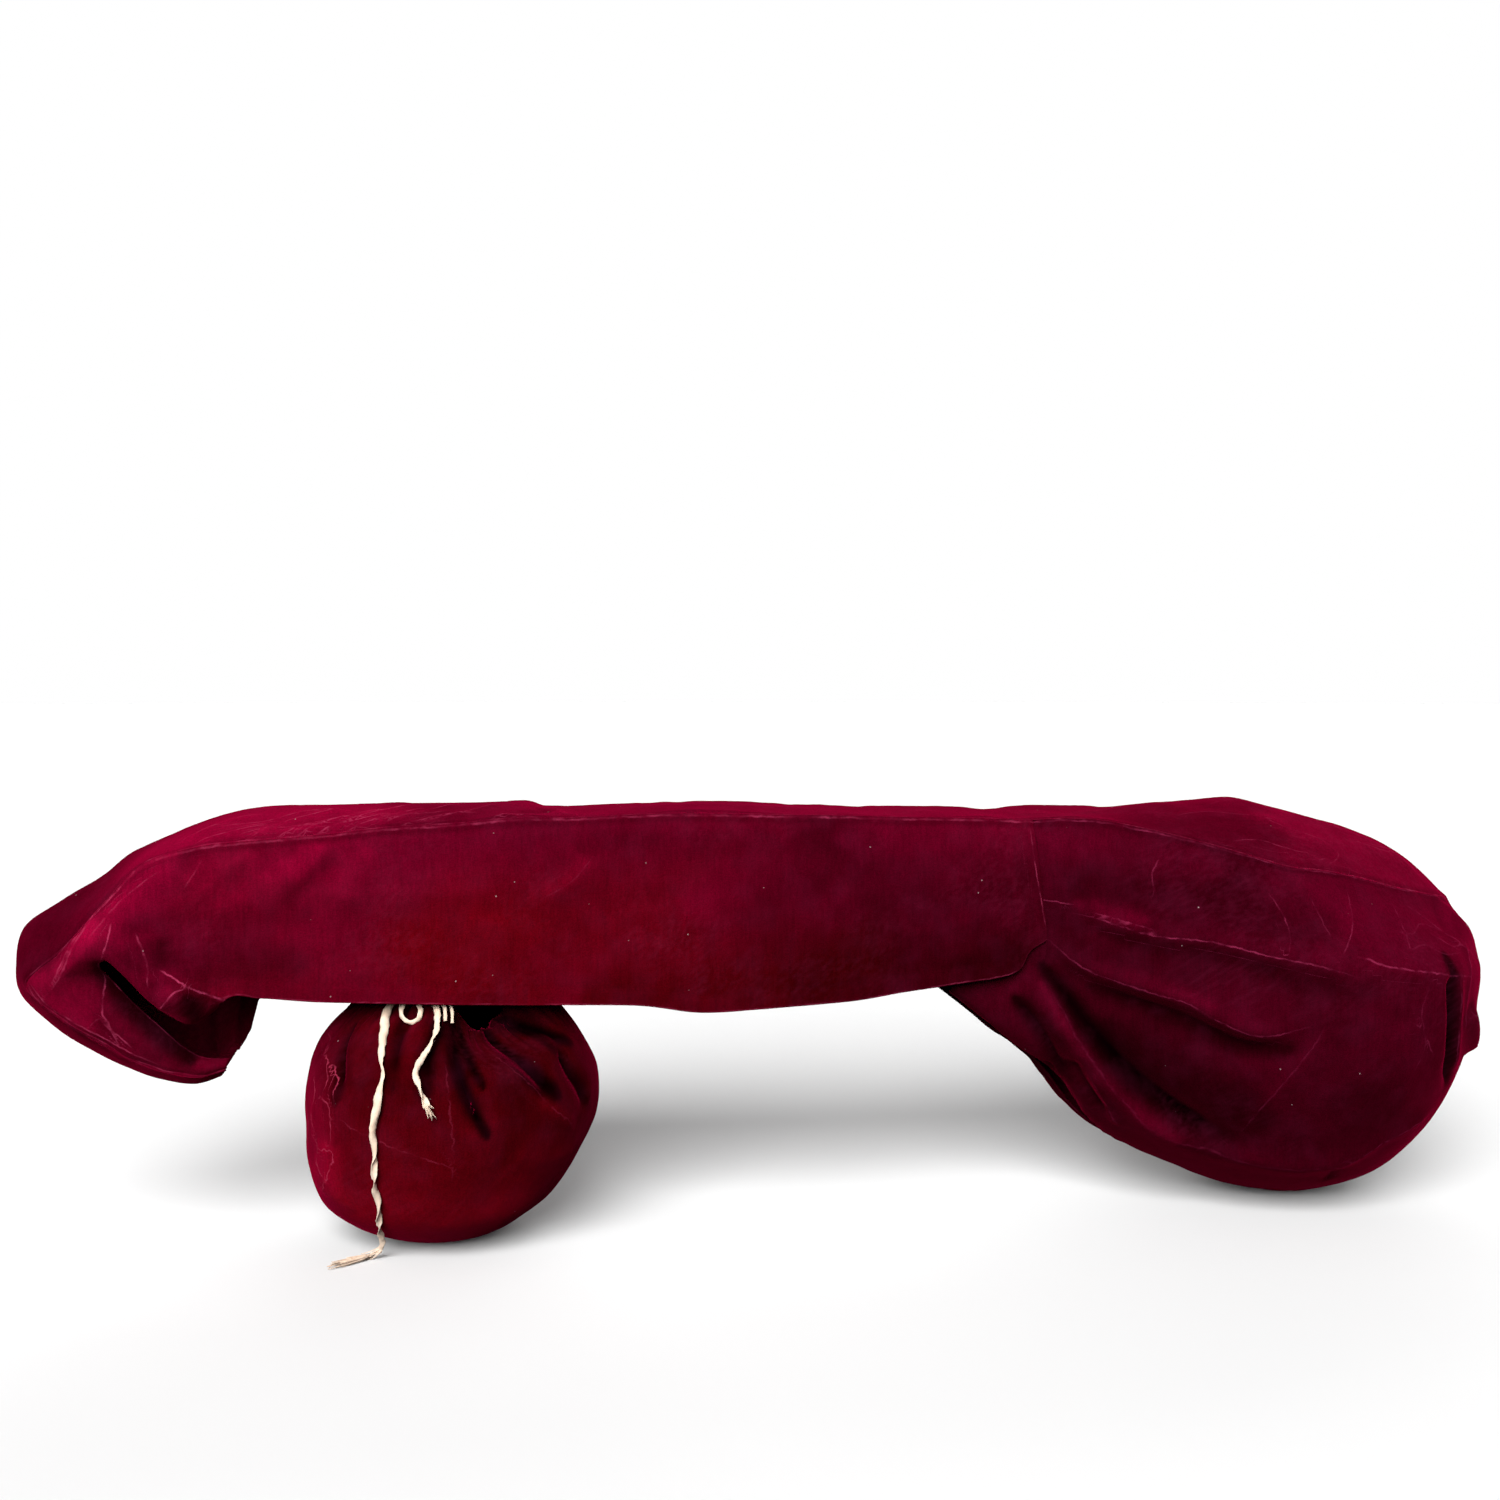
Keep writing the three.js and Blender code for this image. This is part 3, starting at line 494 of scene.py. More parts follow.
BOWL_STROKES = [
    (((290, 310), (400, 300), (480, 278)), 36, -0.38, 0),
    (((250, 280), (296, 276)), 24, -0.3, 0),
    (((250, 240), (320, 240), (396, 236)), 22, -0.28, 0),
    (((450, 192), (510, 190)), 24, -0.2, 0),
    (((280, 164), (330, 112)), 24, -0.26, 0),
    (((500, 118), (560, 116)), 30, -0.22, 0),
    (((319, 176), (353, 147), (387, 126), (440, 100)), 30, -0.62, 0),
    (((300, 100), (420, 40), (560, 40), (640, 110)), 50, -0.3, 0),
    (((450, 304), (600, 270), (700, 236)), 40, 0.35, 0),
    (((285, 290), (340, 277)), 9, 0.45, 0),
    (((258, 216), (290, 166), (335, 113), (385, 78)), 8, 0.45, 0),
    (((258, 232), (267, 219), (284, 194), (303, 170), (329, 142), (356, 118), (400, 88)), 9, -1.1, 0),
    (((234, 203), (238, 198), (263, 168), (277, 145), (290, 120)), 8, -0.9, 0),
    (((300, 216), (368, 192), (415, 170), (452, 170)), 12, -0.6, 0),
    (((300, 236), (351, 222), (394, 204)), 7, 0.2, 0),
    (((305, 267), (346, 255), (391, 251), (438, 240)), 8, -0.3, 0),
    (((602, 240), (605, 198), (610, 162), (626, 108)), 9, -2.2, 0),
    (((250, 350), (400, 322)), 22, 0.28, 0),
]
BOWL_BACK_STROKES = [
    (((300, 300), (440, 276), (600, 250)), 44, 0.3, 0),
    (((330, 170), (380, 132), (440, 108)), 12, -0.5, 0),
    (((600, 240), (612, 190), (628, 130)), 10, -0.9, 0),
    (((440, 180), (520, 140), (580, 110)), 50, 0.25, 0),
]
TOP_STROKES = [
    (((-640, -70), (-600, -20), (-560, 60)), 42, -0.45, 0),
    (((-520, -50), (-430, -42), (-325, -40)), 60, 0.55, 0),
    (((-200, -40), (0, -40), (220, -40)), 70, 0.16, 0),
    (((330, -90), (400, -84), (470, -84)), 44, -0.36, 0),
    (((490, -64), (560, -40), (660, -20)), 60, 0.24, 0),
]
BAG_STROKES = [
    (((-175, 180), (-150, 110), (-140, 50)), 46, 0.5, -0.7),
    (((-180, 120), (-40, 110), (180, 100)), 300, 0, 0.8),
    (((120, 170), (154, 120), (160, 80)), 60, -0.3, 0),
    (((-160, 166), (-60, 160), (50, 158), (90, 164)), 34, -0.34, 0),
    (((112, 100), (84, 62), (50, 48)), 34, 0.34, 0),
    (((-122, 95), (-112, 70)), 26, 0.34, 0),
    (((-30, 204), (60, 194), (120, 196)), 20, -0.4, 0),
    (((-100, 50), (0, 30), (90, 40)), 44, 0.5, 0),
    (((-4, 200), (-1, 180), (5, 158), (14, 135), (25, 114)), 6, -2.2, 0),
    (((6, 192), (11, 180), (18, 166), (24, 152)), 4.5, -1.5, 0),
    (((50, 194), (58, 180), (66, 162), (90, 138)), 10, -2.2, 0),
    (((88, 193), (104, 188), (118, 182), (138, 172)), 7, -2.0, 0),
    (((110, 172), (115, 160), (122, 144), (143, 118)), 9, -1.1, 0),
    (((-128, 190), (-118, 170), (-112, 150), (-112, 136)), 9, -0.9, 0),
    (((-20, 204), (-23, 184), (-25, 166), (-25, 146)), 9, -1.1, 0),
    (((-70, 206), (-62, 190), (-56, 170), (-54, 152)), 8, -0.55, 0),
    (((46, 162), (56, 124), (46, 98)), 20, -0.22, 0),
    (((40, 176), (62, 150), (84, 127), (118, 104)), 5, 0.25, 0),
]

# Tapes of the tie, from the knot to the free end: x, y, z, width and twist in degrees.
LONG_END = [
    (-310, -55.7, 226.5, 7, 0),
    (-320, -63, 219, 7, 0),
    (-326, -74, 208, 7.6, 0),
    (-328, -88, 194, 7.4, 10),
    (-330, -103, 177, 6.2, 50),
    (-328, -110, 168, 6, 90),
    (-331, -116, 154, 6.8, 40),
    (-333, -120, 138, 7, 0),
    (-335, -120, 120, 6.6, -30),
    (-335, -117, 103, 6.4, 70),
    (-334, -113, 79, 6.4, 250),
    (-332, -104, 55, 6.2, 430),
    (-331, -90, 34, 6.2, 610),
    (-330, -77, 18, 6.2, 740),
    (-332, -69, 8, 6.4, 800),
    (-338, -68, 4.2, 6.4, 850),
    (-348, -74, 3.1, 6.4, 878),
    (-360, -81, 2.9, 6.6, 890),
    (-372, -87, 2.8, 6.6, 897),
]
SHORT_END = [
    (-297, -56.6, 225.5, 6.6, 0),
    (-290, -65, 220, 6.6, 10),
    (-284, -78, 212, 6.6, 10),
    (-285, -95, 198, 6.4, 50),
    (-290, -105, 188, 6.4, 90),
    (-297, -113, 178, 6, 20),
    (-300, -121, 168, 6, -50),
    (-298, -127, 157, 6, 60),
    (-292, -133, 144, 6.4, 170),
    (-287, -136, 134, 6.6, 180),
]
LOOP = [
    (-306, -59, 227, 5, 0),
    (-309, -68, 222, 5, 15),
    (-313, -76, 216, 5, 30),
    (-313.5, -80, 209, 5, 35),
    (-309.5, -83, 204, 5, 35),
    (-304, -84, 202.6, 5, 35),
    (-299, -83, 205, 5, 35),
    (-296.8, -79, 211, 5, 35),
    (-299, -73, 218, 5, 30),
    (-301.5, -66, 223, 5, 15),
    (-301, -59, 226, 5, 0),
]
# Two short strands of the drawstring beside the knot.
STRANDS = [
    [(-298, -55, 226, 4, 0), (-286, -66, 221, 4, 10), (-278, -77, 214, 4, 30), (-277, -82, 203, 4, 50)],
    [(-299, -52, 227, 3, 0), (-282, -64, 222, 3, 20), (-272, -77, 214, 3, 10), (-271, -82, 201, 3, 40)],
]
KNOT_AT = (-303, -54, 227.7)
KNOT_FLATNESS = 0.8
KNOT_DIRT = 0.2
# Bands of the knot: tilt and lean in degrees, and size; then the ring that each of them is.
KNOT_BANDS = ((10, 20, 1.0), (75, -25, 0.92), (-55, 40, 0.86))
BAND_SIDES = 28
BAND_CORNERS = 10
BAND_RADIUS = 3.968
BAND_ROUNDNESS = 0.72
BAND_THICKNESS = 2.0
BAND_HEIGHT = 2.6
# The tape's section, and what changes along it: amount, wavelength and seed.
TAPE_THICKNESS = 1.3
TAPE_STEPS = 12
TAPE_ACROSS = 9
TAPE_EDGE = 0.08
TAPE_FULLNESS = 0.93
TAPE_CURL = 0.4
TAPE_RIPPLE_TURN = 2.6
TAPE_TWIST = (0.22, 12, 50)
TAPE_NARROWING = (0.09, 8, 51)
TAPE_CURL_CHANGE = (0.16, 7, 0)
TAPE_RIPPLE = (0.3, 5, 52)
# Tufts of loose yarn: share of the tape's length where a tuft stops, yarns and their length.
LONG_TUFTS = ((1, 52, 34), (0.89, 16, 12))
SHORT_TUFTS = ((1, 26, 10),)
# Loose yarns: how deep they start in the tape, share of the tuft's length, radius and taper, spread
# at both ends as a share of the tape's width, bend, lowest height, points, sides and the direction
# that the sides are turned from.
YARN_ROOT = (1, 3)
YARN_REACH = (0.45, 1.12)
YARN_RADIUS = (0.45, 0.75)
YARN_TAPER = 0.5
YARN_ROOT_SPREAD = 0.3
YARN_TIP_SPREAD = 0.78
YARN_BEND = 1.6
YARN_LOWEST = 0.7
YARN_SPOTS = 6
YARN_SIDES = 3
YARN_ASIDE = (0.3, 0.5, 0.8)
DIRT_REACH = 19

# Lights: name, strength, softness, height and side in degrees. Then the sky near the floor and
# overhead, and the heights between which it changes.
LIGHTS = (("front_light", 5.5, 42, 32, 22), ("back_light", 1.8, 60, 14, 200))
SKY_LOW = (0.04, 0.04, 0.04, 1)
SKY_HIGH = (0.22, 0.22, 0.22, 1)
SKY_EDGE = (-0.1, 0.6)
BACKDROP_RADIUS = 30
BACKDROP_SHADER = {
    "Base Color": (0, 0, 0, 1),
    "Specular IOR Level": 0.0,
    "Emission Color": (1, 1, 1, 1),
    "Emission Strength": 1.0,
}
FLOOR_COLOURS = ((0.845, 0.845, 0.845, 1), (0.855, 0.855, 0.855, 1))
FLOOR_NOISE = (3, 2)
FLOOR_SHADER = {"Roughness": 0.9, "Specular IOR Level": 0.0}

# Velvets: colour, warmer colour, colour of bent pile and of the painted highlight on creases,
# strength of pressed streaks, waver of creases.
COVER_PILE = ((0.085, 0.0003, 0.0085), (0.087, 0.0003, 0.0026), (0.42, 0.04, 0.11), 0.045, 0.4)
BOWL_PILE = ((0.043, 0.0002, 0.0047), (0.045, 0.0002, 0.003), (0.3, 0.025, 0.08), 0.045, 0.5)
BAG_PILE = ((0.062, 0.0003, 0.0052), (0.06, 0.0003, 0.0014), (0.3, 0.025, 0.06), 0.08, 1.3)
VELVET_SHADER = {
    "Roughness": 0.92,
    "Specular IOR Level": 0.0,
    "Sheen Weight": 0.2,
    "Sheen Roughness": 0.36,
    "Sheen Tint": (1.0, 0.006, 0.1, 1),
}
# Noises are given as their scale and detail, edges as the two values between which one acts, and
# changes as the share by which one lightens or darkens the pile.
NOISE_RANGE = (0.3, 0.7)
# Base of the power that turns the points' painted light and shade into a factor on the colour.
LIGHT_AND_NAP_RANGE = 4
CLOUD_NOISE = (7, 3)
CLOUD_CHANGE = 0.06
MOTTLE_NOISE = (52, 5)
MOTTLE_CHANGE = 0.09
PILE_STRETCH = (1, 1, 0.1)
PILE_NOISE = (380, 2)
PILE_CHANGE = 0.12
GRAIN_NOISE = (800, 2)
GRAIN_CHANGE = 0.2
PILE_BUMP = (0.4, 0.0007)
DUST = (0.24, 0.02, 0.07, 1)
DUST_NOISE = (40, 6)
DUST_EDGE = (0.45, 0.75)
DUST_STRENGTH = 0.05
STREAK_TURN = (0.5, 0.9, 0)
STREAK_STRETCH = (1, 1, 9)
STREAK_NOISE = (260, 3)
STREAK_EDGE = (0.42, 0.74)
PATCH_NOISE = (11, 3)
PATCH_EDGE = (0.46, 0.64)
WAVER_NOISE = (150, 4)
CREASE_LINE = (0.15, 0.8)
WORN_NOISE = (90, 3)
WORN_EDGE = (0.38, 0.6)
WORN_STRENGTH = (0.1, 1)
LINT = (0.55, 0.42, 0.42, 1)
LINT_PER_METRE = 60
LINT_SIZE = (0.022, 0.05)
LINT_CHOICE = (0.6, 0.8)
LINT_STRENGTH = 0.5
# Cotton of the tape: its two creams, the gaps between its yarns painted darker as shade, and its dirt.
COTTON_PALE = (0.87, 0.70, 0.56, 1)
COTTON_DARK = (0.76, 0.57, 0.43, 1)
COTTON_NOISE = (120, 3)
COTTON_EDGE = (0.35, 0.7)
COTTON_GAP = (0.6, 0.43, 0.31, 1)
YARN_NOISE = (1500, 2)
YARN_EDGE = (0.35, 0.65)
YARN_SHADE = 0.3
YARN_BUMP = (0.6, 0.0005)
DIRT = (0.34, 0.24, 0.17, 1)
DIRT_STRENGTH = 0.5
COTTON_ROUGHNESS = (0.75, 0.95)
COTTON_SHADER = {"Specular IOR Level": 0.2, "Sheen Weight": 0.15}


def mix(a, b, share):
    return a + (b - a) * share


def smooth(low, high, value):
    """Soft step from 0 at low to 1 at high."""
    k = np.clip((np.asarray(value, float) - low) / (high - low), 0, 1)
    return k * k * (3 - 2 * k)


def unit(vectors):
    length = np.linalg.norm(vectors, axis=-1, keepdims=True)
    return vectors / np.maximum(length, TINY)


def between(rows, steps):
    """Rows of a table with a smooth curve through each column, steps to a row."""
    rows = np.asarray(rows, float)
    last = len(rows) - 1
    place = np.linspace(0, last, last * steps + 1)
    i = np.minimum(place.astype(int), last - 1)
    k = (place - i)[:, None]
    a, b, c, d = (rows[np.clip(i + n, 0, last)] for n in (-1, 0, 1, 2))
    slope_in = (c - a) / 2
    slope_out = (d - b) / 2
    rise = c - b
    square = 3 * rise - 2 * slope_in - slope_out
    cube = slope_in + slope_out - 2 * rise
    return b + k * (slope_in + k * (square + k * cube))


def run_length(path):
    """Length along a path up to each of its points."""
    steps = np.linalg.norm(np.diff(path, axis=0), axis=1)
    return np.concatenate([[0], np.cumsum(steps)])


def even(rows, grain, columns):
    """Rows spaced evenly, a grain apart, along the line that some of their columns give."""
    run = run_length(rows[:, columns])
    count = max(2, round(run[-1] / grain))
    at = np.linspace(0, run[-1], count + 1)
    return np.stack([np.interp(at, run, column) for column in rows.T], axis=1)


def ruffle(points, wavelength, seed, waves=RUFFLE_WAVES):
    """Smooth seeded noise of about one wavelength, mostly from -1 to 1."""
    rng = np.random.default_rng(seed)
    total = np.zeros(points.shape[:-1])
    for _ in range(waves):
        direction = unit(rng.normal(size=points.shape[-1]))
        pitch = wavelength * rng.uniform(*RUFFLE_RANGE)
        total += np.sin(points @ direction * (2 * math.pi / pitch) + rng.uniform(0, 2 * math.pi))
    return total / math.sqrt(waves)


def normals_of(grid, closed, side):
    """Normals of a grid of points; closed grids join their last column to the first."""
    if closed:
        along = np.roll(grid, -1, axis=0) - np.roll(grid, 1, axis=0)
    else:
        along = np.gradient(grid, axis=0)
    return side * unit(np.cross(along, np.gradient(grid, axis=1)))


def relax(grid, times):
    """Softens a grid along its second direction, with the edges held."""
    grid = grid.copy()
    for _ in range(times):
        middle = (grid[:, :-2] + grid[:, 2:]) / 2
        grid[:, 1:-1] = (grid[:, 1:-1] + middle) / 2
    return grid


def line_distance(flat, line):
    """Distance of places to a line, their share along it, and whether they lie left of it."""
    path = between(line, LINE_STEPS)
    run = run_length(path)
    best = np.full(len(flat), np.inf)
    share = np.zeros(len(flat))
    left = np.zeros(len(flat), bool)
    for i, (start, end) in enumerate(zip(path[:-1], path[1:])):
        step = end - start
        k = np.clip((flat - start) @ step / (step @ step), 0, 1)
        away = flat - start - k[:, None] * step
        distance = np.hypot(away[:, 0], away[:, 1])
        nearer = distance < best
        best = np.where(nearer, distance, best)
        share = np.where(nearer, (run[i] + k * (run[i + 1] - run[i])) / run[-1], share)
        left = np.where(nearer, step[0] * away[:, 1] - step[1] * away[:, 0] > 0, left)
    return best, share, left


def near_line(flat, line, reach):
    """Which places lie in the box around a line."""
    line = np.asarray(line, float)
    return np.all((flat > line.min(0) - reach) & (flat < line.max(0) + reach), axis=1)


def fold_field(flat, folds):
    """Height of the folds and painted shade in their troughs, and strength and distance of the nearest
    crease, at each place.
    """
    height = np.zeros(len(flat))
    tone = np.zeros(len(flat))
    crease = np.zeros(len(flat))
    away = np.full(len(flat), CREASE_REACH)
    for line, left_width, right_width, rise, gleam in folds:
        near = np.nonzero(near_line(flat, line, FOLD_REACH * max(left_width, right_width)))[0]
        distance, share, left = line_distance(flat[near], line)
        width = np.where(left, left_width, right_width)
        fade = smooth(0, FOLD_FADE, share) * smooth(0, FOLD_FADE, 1 - share)
        sharpness = TROUGH_SHARPNESS if rise < 0 else RIDGE_SHARPNESS
        bell = fade * np.exp(-((distance / width) ** sharpness))
        height[near] += rise * bell
        # Painted shade in the trough.
        tone[near] += TROUGH_SHADE * min(rise, 0) * bell
        if gleam:
            closer = distance < np.abs(away[near])
            crease[near[closer]] = gleam * fade[closer]
            away[near[closer]] = np.where(left, distance, -distance)[closer]
    return height, tone, crease, away


def shading_field(flat, strokes):
    """Painted light and shade, with the lay of the pile, and how much warmer the pile is, at each place.
    """
    tone = np.zeros(len(flat))
    warmth = np.zeros(len(flat))
    for line, width, lighter, warmer in strokes:
        distance, share, _ = line_distance(flat, line)
        taper = STROKE_TIP + (1 - STROKE_TIP) * np.sqrt(4 * share * (1 - share))
        bell = np.exp(-((distance / (width * taper)) ** STROKE_SHARPNESS))
        tone += lighter * bell
        warmth += warmer * bell
    return tone, warmth


def crumple(points, seed):
    """Soft unevenness of used velvet."""
    layers = enumerate(CRUMPLE)
    return sum(height * ruffle(points, wavelength, seed + i) for i, (height, wavelength) in layers)


def seam_pucker(run, distance, seed):
    """Little ripples that the stitches draw into the cloth beside a seam."""
    ripple = ruffle(run[..., None], PUCKER_PITCH, seed, PUCKER_WAVES) * np.exp(-distance / PUCKER_REACH)
    return PUCKER_RISE * ripple - STITCH_SINK * np.exp(-((distance / STITCH_WIDTH) ** 2))


def ridge_shine(grid, normals, closed):
    """How strongly the cloth bends outward, for a painted highlight where the opened pile would catch
    light.
    """
    if closed:
        around = np.roll(grid, -1, axis=0) + np.roll(grid, 1, axis=0) - 2 * grid
    else:
        around = np.zeros_like(grid)
        around[1:-1] = grid[2:] + grid[:-2] - 2 * grid[1:-1]
    down = np.zeros_like(grid)
    down[:, 1:-1] = grid[:, 2:] + grid[:, :-2] - 2 * grid[:, 1:-1]
    bend = np.clip(-np.sum((around + down) * normals, axis=-1), -BEND_LIMIT, BEND_LIMIT)
    for _ in range(BEND_SPREAD):
        bend[1:-1] = (bend[:-2] + 2 * bend[1:-1] + bend[2:]) / 4
        bend[:, 1:-1] = (bend[:, :-2] + 2 * bend[:, 1:-1] + bend[:, 2:]) / 4
    return bend


def linked_object(name, points, faces, material, kept):
    """Mesh object of points in millimetres, with named numbers kept on the points."""
    mesh = bpy.data.meshes.new(name)
    mesh.from_pydata(((points - (0, 0, TOP_UNDERSIDE)) * MM).tolist(), [], faces)
    mesh.validate()
    mesh.shade_smooth()
    for label, values in kept.items():
        attribute = mesh.attributes.new(label, "FLOAT", "POINT")
        attribute.data.foreach_set("value", values.astype(np.float32))
    mesh.materials.append(material)
    piece = bpy.data.objects.new(name, mesh)
    bpy.context.scene.collection.objects.link(piece)
    return piece


def sheet_object(name, grid, normals, marks, closed, side, material):
    """Closed thin sheet on a grid of points, with the marks of its pile kept on the points."""
    columns, rows = grid.shape[:2]
    outer = grid + normals * CLOTH_OUTSIDE
    inner = outer - normals * CLOTH_THICKNESS
    points = np.concatenate([outer.reshape(-1, 3), inner.reshape(-1, 3)])
    count = columns * rows
    index = np.arange(count).reshape(columns, rows)
    if closed:
        index = np.vstack([index, index[:1]])
    corners = (index[:-1, :-1], index[1:, :-1], index[1:, 1:], index[:-1, 1:])
    quads = np.stack(corners, axis=-1).reshape(-1, 4)
    if side < 0:
        quads = quads[:, ::-1]
    borders = [index[:, 0], index[::-1, -1]]
    if not closed:
        borders += [index[0, ::-1], index[-1]]
    walls = []
    for border in borders:
        start, end = border[:-1], border[1:]
        wall = np.stack([end, start, start + count, end + count], axis=-1)
        walls.append(wall[:, ::-1] if side < 0 else wall)
    faces = np.concatenate([quads, quads[:, ::-1] + count, *walls])
    kept = {}
    for label, values in marks.items():
        # The inside takes the back's marks, which are partly painted shade.
        inside = np.full(values.size, WRONG_SIDE[label])
        kept[label] = np.concatenate([values.ravel(), inside])
    return linked_object(name, points, faces.tolist(), material, kept)


def panel_grid(rows, shares, side):
    """Points down each section: straight from the seam to the rim, then falling to the hem."""
    seam, rim, hem = rows[:, None, 0:3], rows[:, None, 3:6], rows[:, None, 6:9]
    v = shares[None, :, None]
    upper = mix(seam, rim, np.minimum(v / RIM_SHARE, 1))
    k = np.clip((v - RIM_SHARE) / (1 - RIM_SHARE), 0, 1)
    turn = k * math.pi / 2
    share = np.concatenate([k, 1 - np.cos(turn), np.sin(turn)], axis=2)
    grid = np.where(v <= RIM_SHARE, upper, mix(rim, hem, share))
    return grid * (1, side, 1)


def shares_down(count, length):
    """Even shares down a panel, with closer ones along its two edges."""
    edge = np.array(EDGE_ROWS) / length
    return np.unique(np.concatenate([np.linspace(0, 1, count + 1), edge, 1 - edge]))


def neck_sections(side):
    """Seam, rim and hem of the neck flap and the head pouch, as rows of nine columns."""
    rows = []
    for x, _, seam_y, seam_z, hem_x, hem_y, hem_z, back_z in NECK:
        low = hem_z if side == FRONT else back_z
        rim_y = mix(seam_y, hem_y, FLAP_RIM_OUT) + FLAP_BULGE
        rim = (mix(x, hem_x, FLAP_RIM), rim_y, mix(seam_z, low, FLAP_RIM))
        rows.append((x, seam_y, seam_z, *rim, hem_x, hem_y, low))
    for row in HEAD:
        seam_x, seam_y, seam_z, share, rim_y = row[2:7]
        hem = row[7:10] if side == FRONT else row[10:13]
        if side == BACK:
            share = RIM_SHARE
            span = math.hypot(hem[0] - seam_x, hem[2] - seam_z)
            rim_y = mix(seam_y, hem[1], share) + BACK_BULGE * span
        rim = (mix(seam_x, hem[0], share), rim_y, mix(seam_z, hem[2], share))
        rows.append((seam_x, seam_y, seam_z, *rim, *hem))
    return rows


def turn_edges(grid, normals, first, last):
    """Turns the normals at edges sewn at an angle, so that two panels meet on one line."""
    for edge, nextto, turned in ((0, 1, first), (-1, -2, last)):
        out = unit(grid[:, edge] - grid[:, nextto])
        normals[:, edge] = unit(normals[:, edge] + turned * out)
    return normals


def dress_panel(name, grid, side, flat_axes, folds, strokes, hold, seed, turned, hem, material):
    """Gives a panel its folds, unevenness, seams and hem, and makes its sheet."""
    normals = normals_of(grid, False, side)
    flat = grid[..., flat_axes].reshape(-1, 2)
    shape = grid.shape[:2]
    height, tone, crease, away = (field.reshape(shape) for field in fold_field(flat, folds))
    # Painted light and shade from the strokes, with the lay of the pile.
    painted_shading, warmth = (field.reshape(shape) for field in shading_field(flat, strokes))
    height = (height + crumple(grid, seed)) * hold
    run = run_length(grid[:, 0])[:, None] + np.zeros(shape)
    down = np.cumsum(np.linalg.norm(np.diff(grid, axis=1, prepend=grid[:, :1]), axis=2), axis=1)
    up = down[:, -1:] - down
    for i, distance in enumerate([down, up]):
        sewn = i == 0 or not hem
        if sewn:
            pucker = seam_pucker(run, distance, seed + PUCKER_SEED + i)
            height = height + pucker * smooth(0, SEAM_FLAT, distance)
            # Painted shade in a thin line beside the seam.
            tone = tone + SEAM_SHADE * np.exp(-(((distance - SEAM_SHADE_AT) / SEAM_SHADE_WIDTH) ** 2))
        line = distance - SEAM_LINE
        closer = np.abs(line) < np.abs(away)
        worn = WEAR_MEAN + WEAR_CHANGE * ruffle(run[..., None], WEAR_PITCH, seed + WEAR_SEED + i)
        # Pale line along the seam or hem: partly worn pile, partly painted highlight.
        gleam = (SEAM_GLEAM if sewn else HEM_GLEAM) * np.clip(worn, WEAR_LEAST, 1)
        crease = np.where(closer, gleam, crease)
        away = np.where(closer, line, away)
    if hem:
        height = height + HEM_RISE * (1 - smooth(HEM_DEPTH - HEM_SOFTNESS, HEM_DEPTH + HEM_SOFTNESS, up))
    grid = grid + normals * height[..., None]
    normals = normals_of(grid, False, side)
    # Painted light and shade of the strokes, and painted highlights where the cloth bends outward.
    tone = tone + painted_shading + BEND_SHINE * ridge_shine(grid, normals, False)
    normals = turn_edges(grid, normals, *turned)
    # The nap mark carries painted light and shade as well as the lay of the pile.
    marks = {"painted_light_and_nap": tone, "warm": warmth, "crease": crease, "crease_away": away}
    return sheet_object(name, grid, normals, marks, False, side, material)


def neck_panel(name, side, grain, folds, strokes, seed, material):
    """Flap of the neck with its side of the head pouch, from the strip's edge to the hem."""
    rows = even(between(neck_sections(side), CURVE_STEPS), grain, [3, 4, 5])
    shares = shares_down(round(FLAP_DEPTH / grain), FLAP_DEPTH)
    flat = panel_grid(rows, shares, side)
    head = smooth(HEAD_START, HEAD_WHOLE, rows[:, 3])[:, None, None]
    grid = mix(relax(flat, FLAP_SOFTENING), relax(flat, HEAD_SOFTENING), head)
    u = np.linspace(0, 1, len(rows))[:, None]
    ends = smooth(0, FLAP_END_HELD, u) * smooth(0, FLAP_END_HELD, 1 - u)
    hold = smooth(0, FLAP_HELD, shares)[None] * ends
    return dress_panel(name, grid, -side, [0, 2], folds, strokes, hold, seed, (1, 0), True, material)


def bowl_panel(name, side, grain, folds, strokes, seed, material):
    """Half of the bowl pouch: along the waist, along the strip's edge, then down the right end."""
    along = [row[2:] for row in BOWL_TOP]
    parts = [BOWL_SIDE + along[:1], along, along[-1:] + BOWL_END]
    parts = [even(between(part, CURVE_STEPS), grain, [0, 1, 2, 3, 4, 5]) for part in parts]
    rows = np.concatenate([parts[0], parts[1][1:], parts[2][1:]])
    shares = shares_down(round(BOWL_DEPTH / grain), BOWL_DEPTH)
    grid = relax(panel_grid(rows, shares, side), BOWL_SOFTENING)
    u = np.linspace(0, 1, len(rows))[:, None]
    v = shares[None]
    hold = smooth(0, BOWL_HELD, v) * smooth(0, KEEL_HELD, 1 - v) * smooth(0, BOWL_HELD, 1 - u)
    waist = len(parts[0])
    angled = smooth(waist - WAIST_ROWS, waist + WAIST_ROWS, np.arange(len(rows)))[:, None]
    turned = (angled, 1)
    return dress_panel(name, grid, side, [0, 2], folds, strokes, hold, seed, turned, False, material)


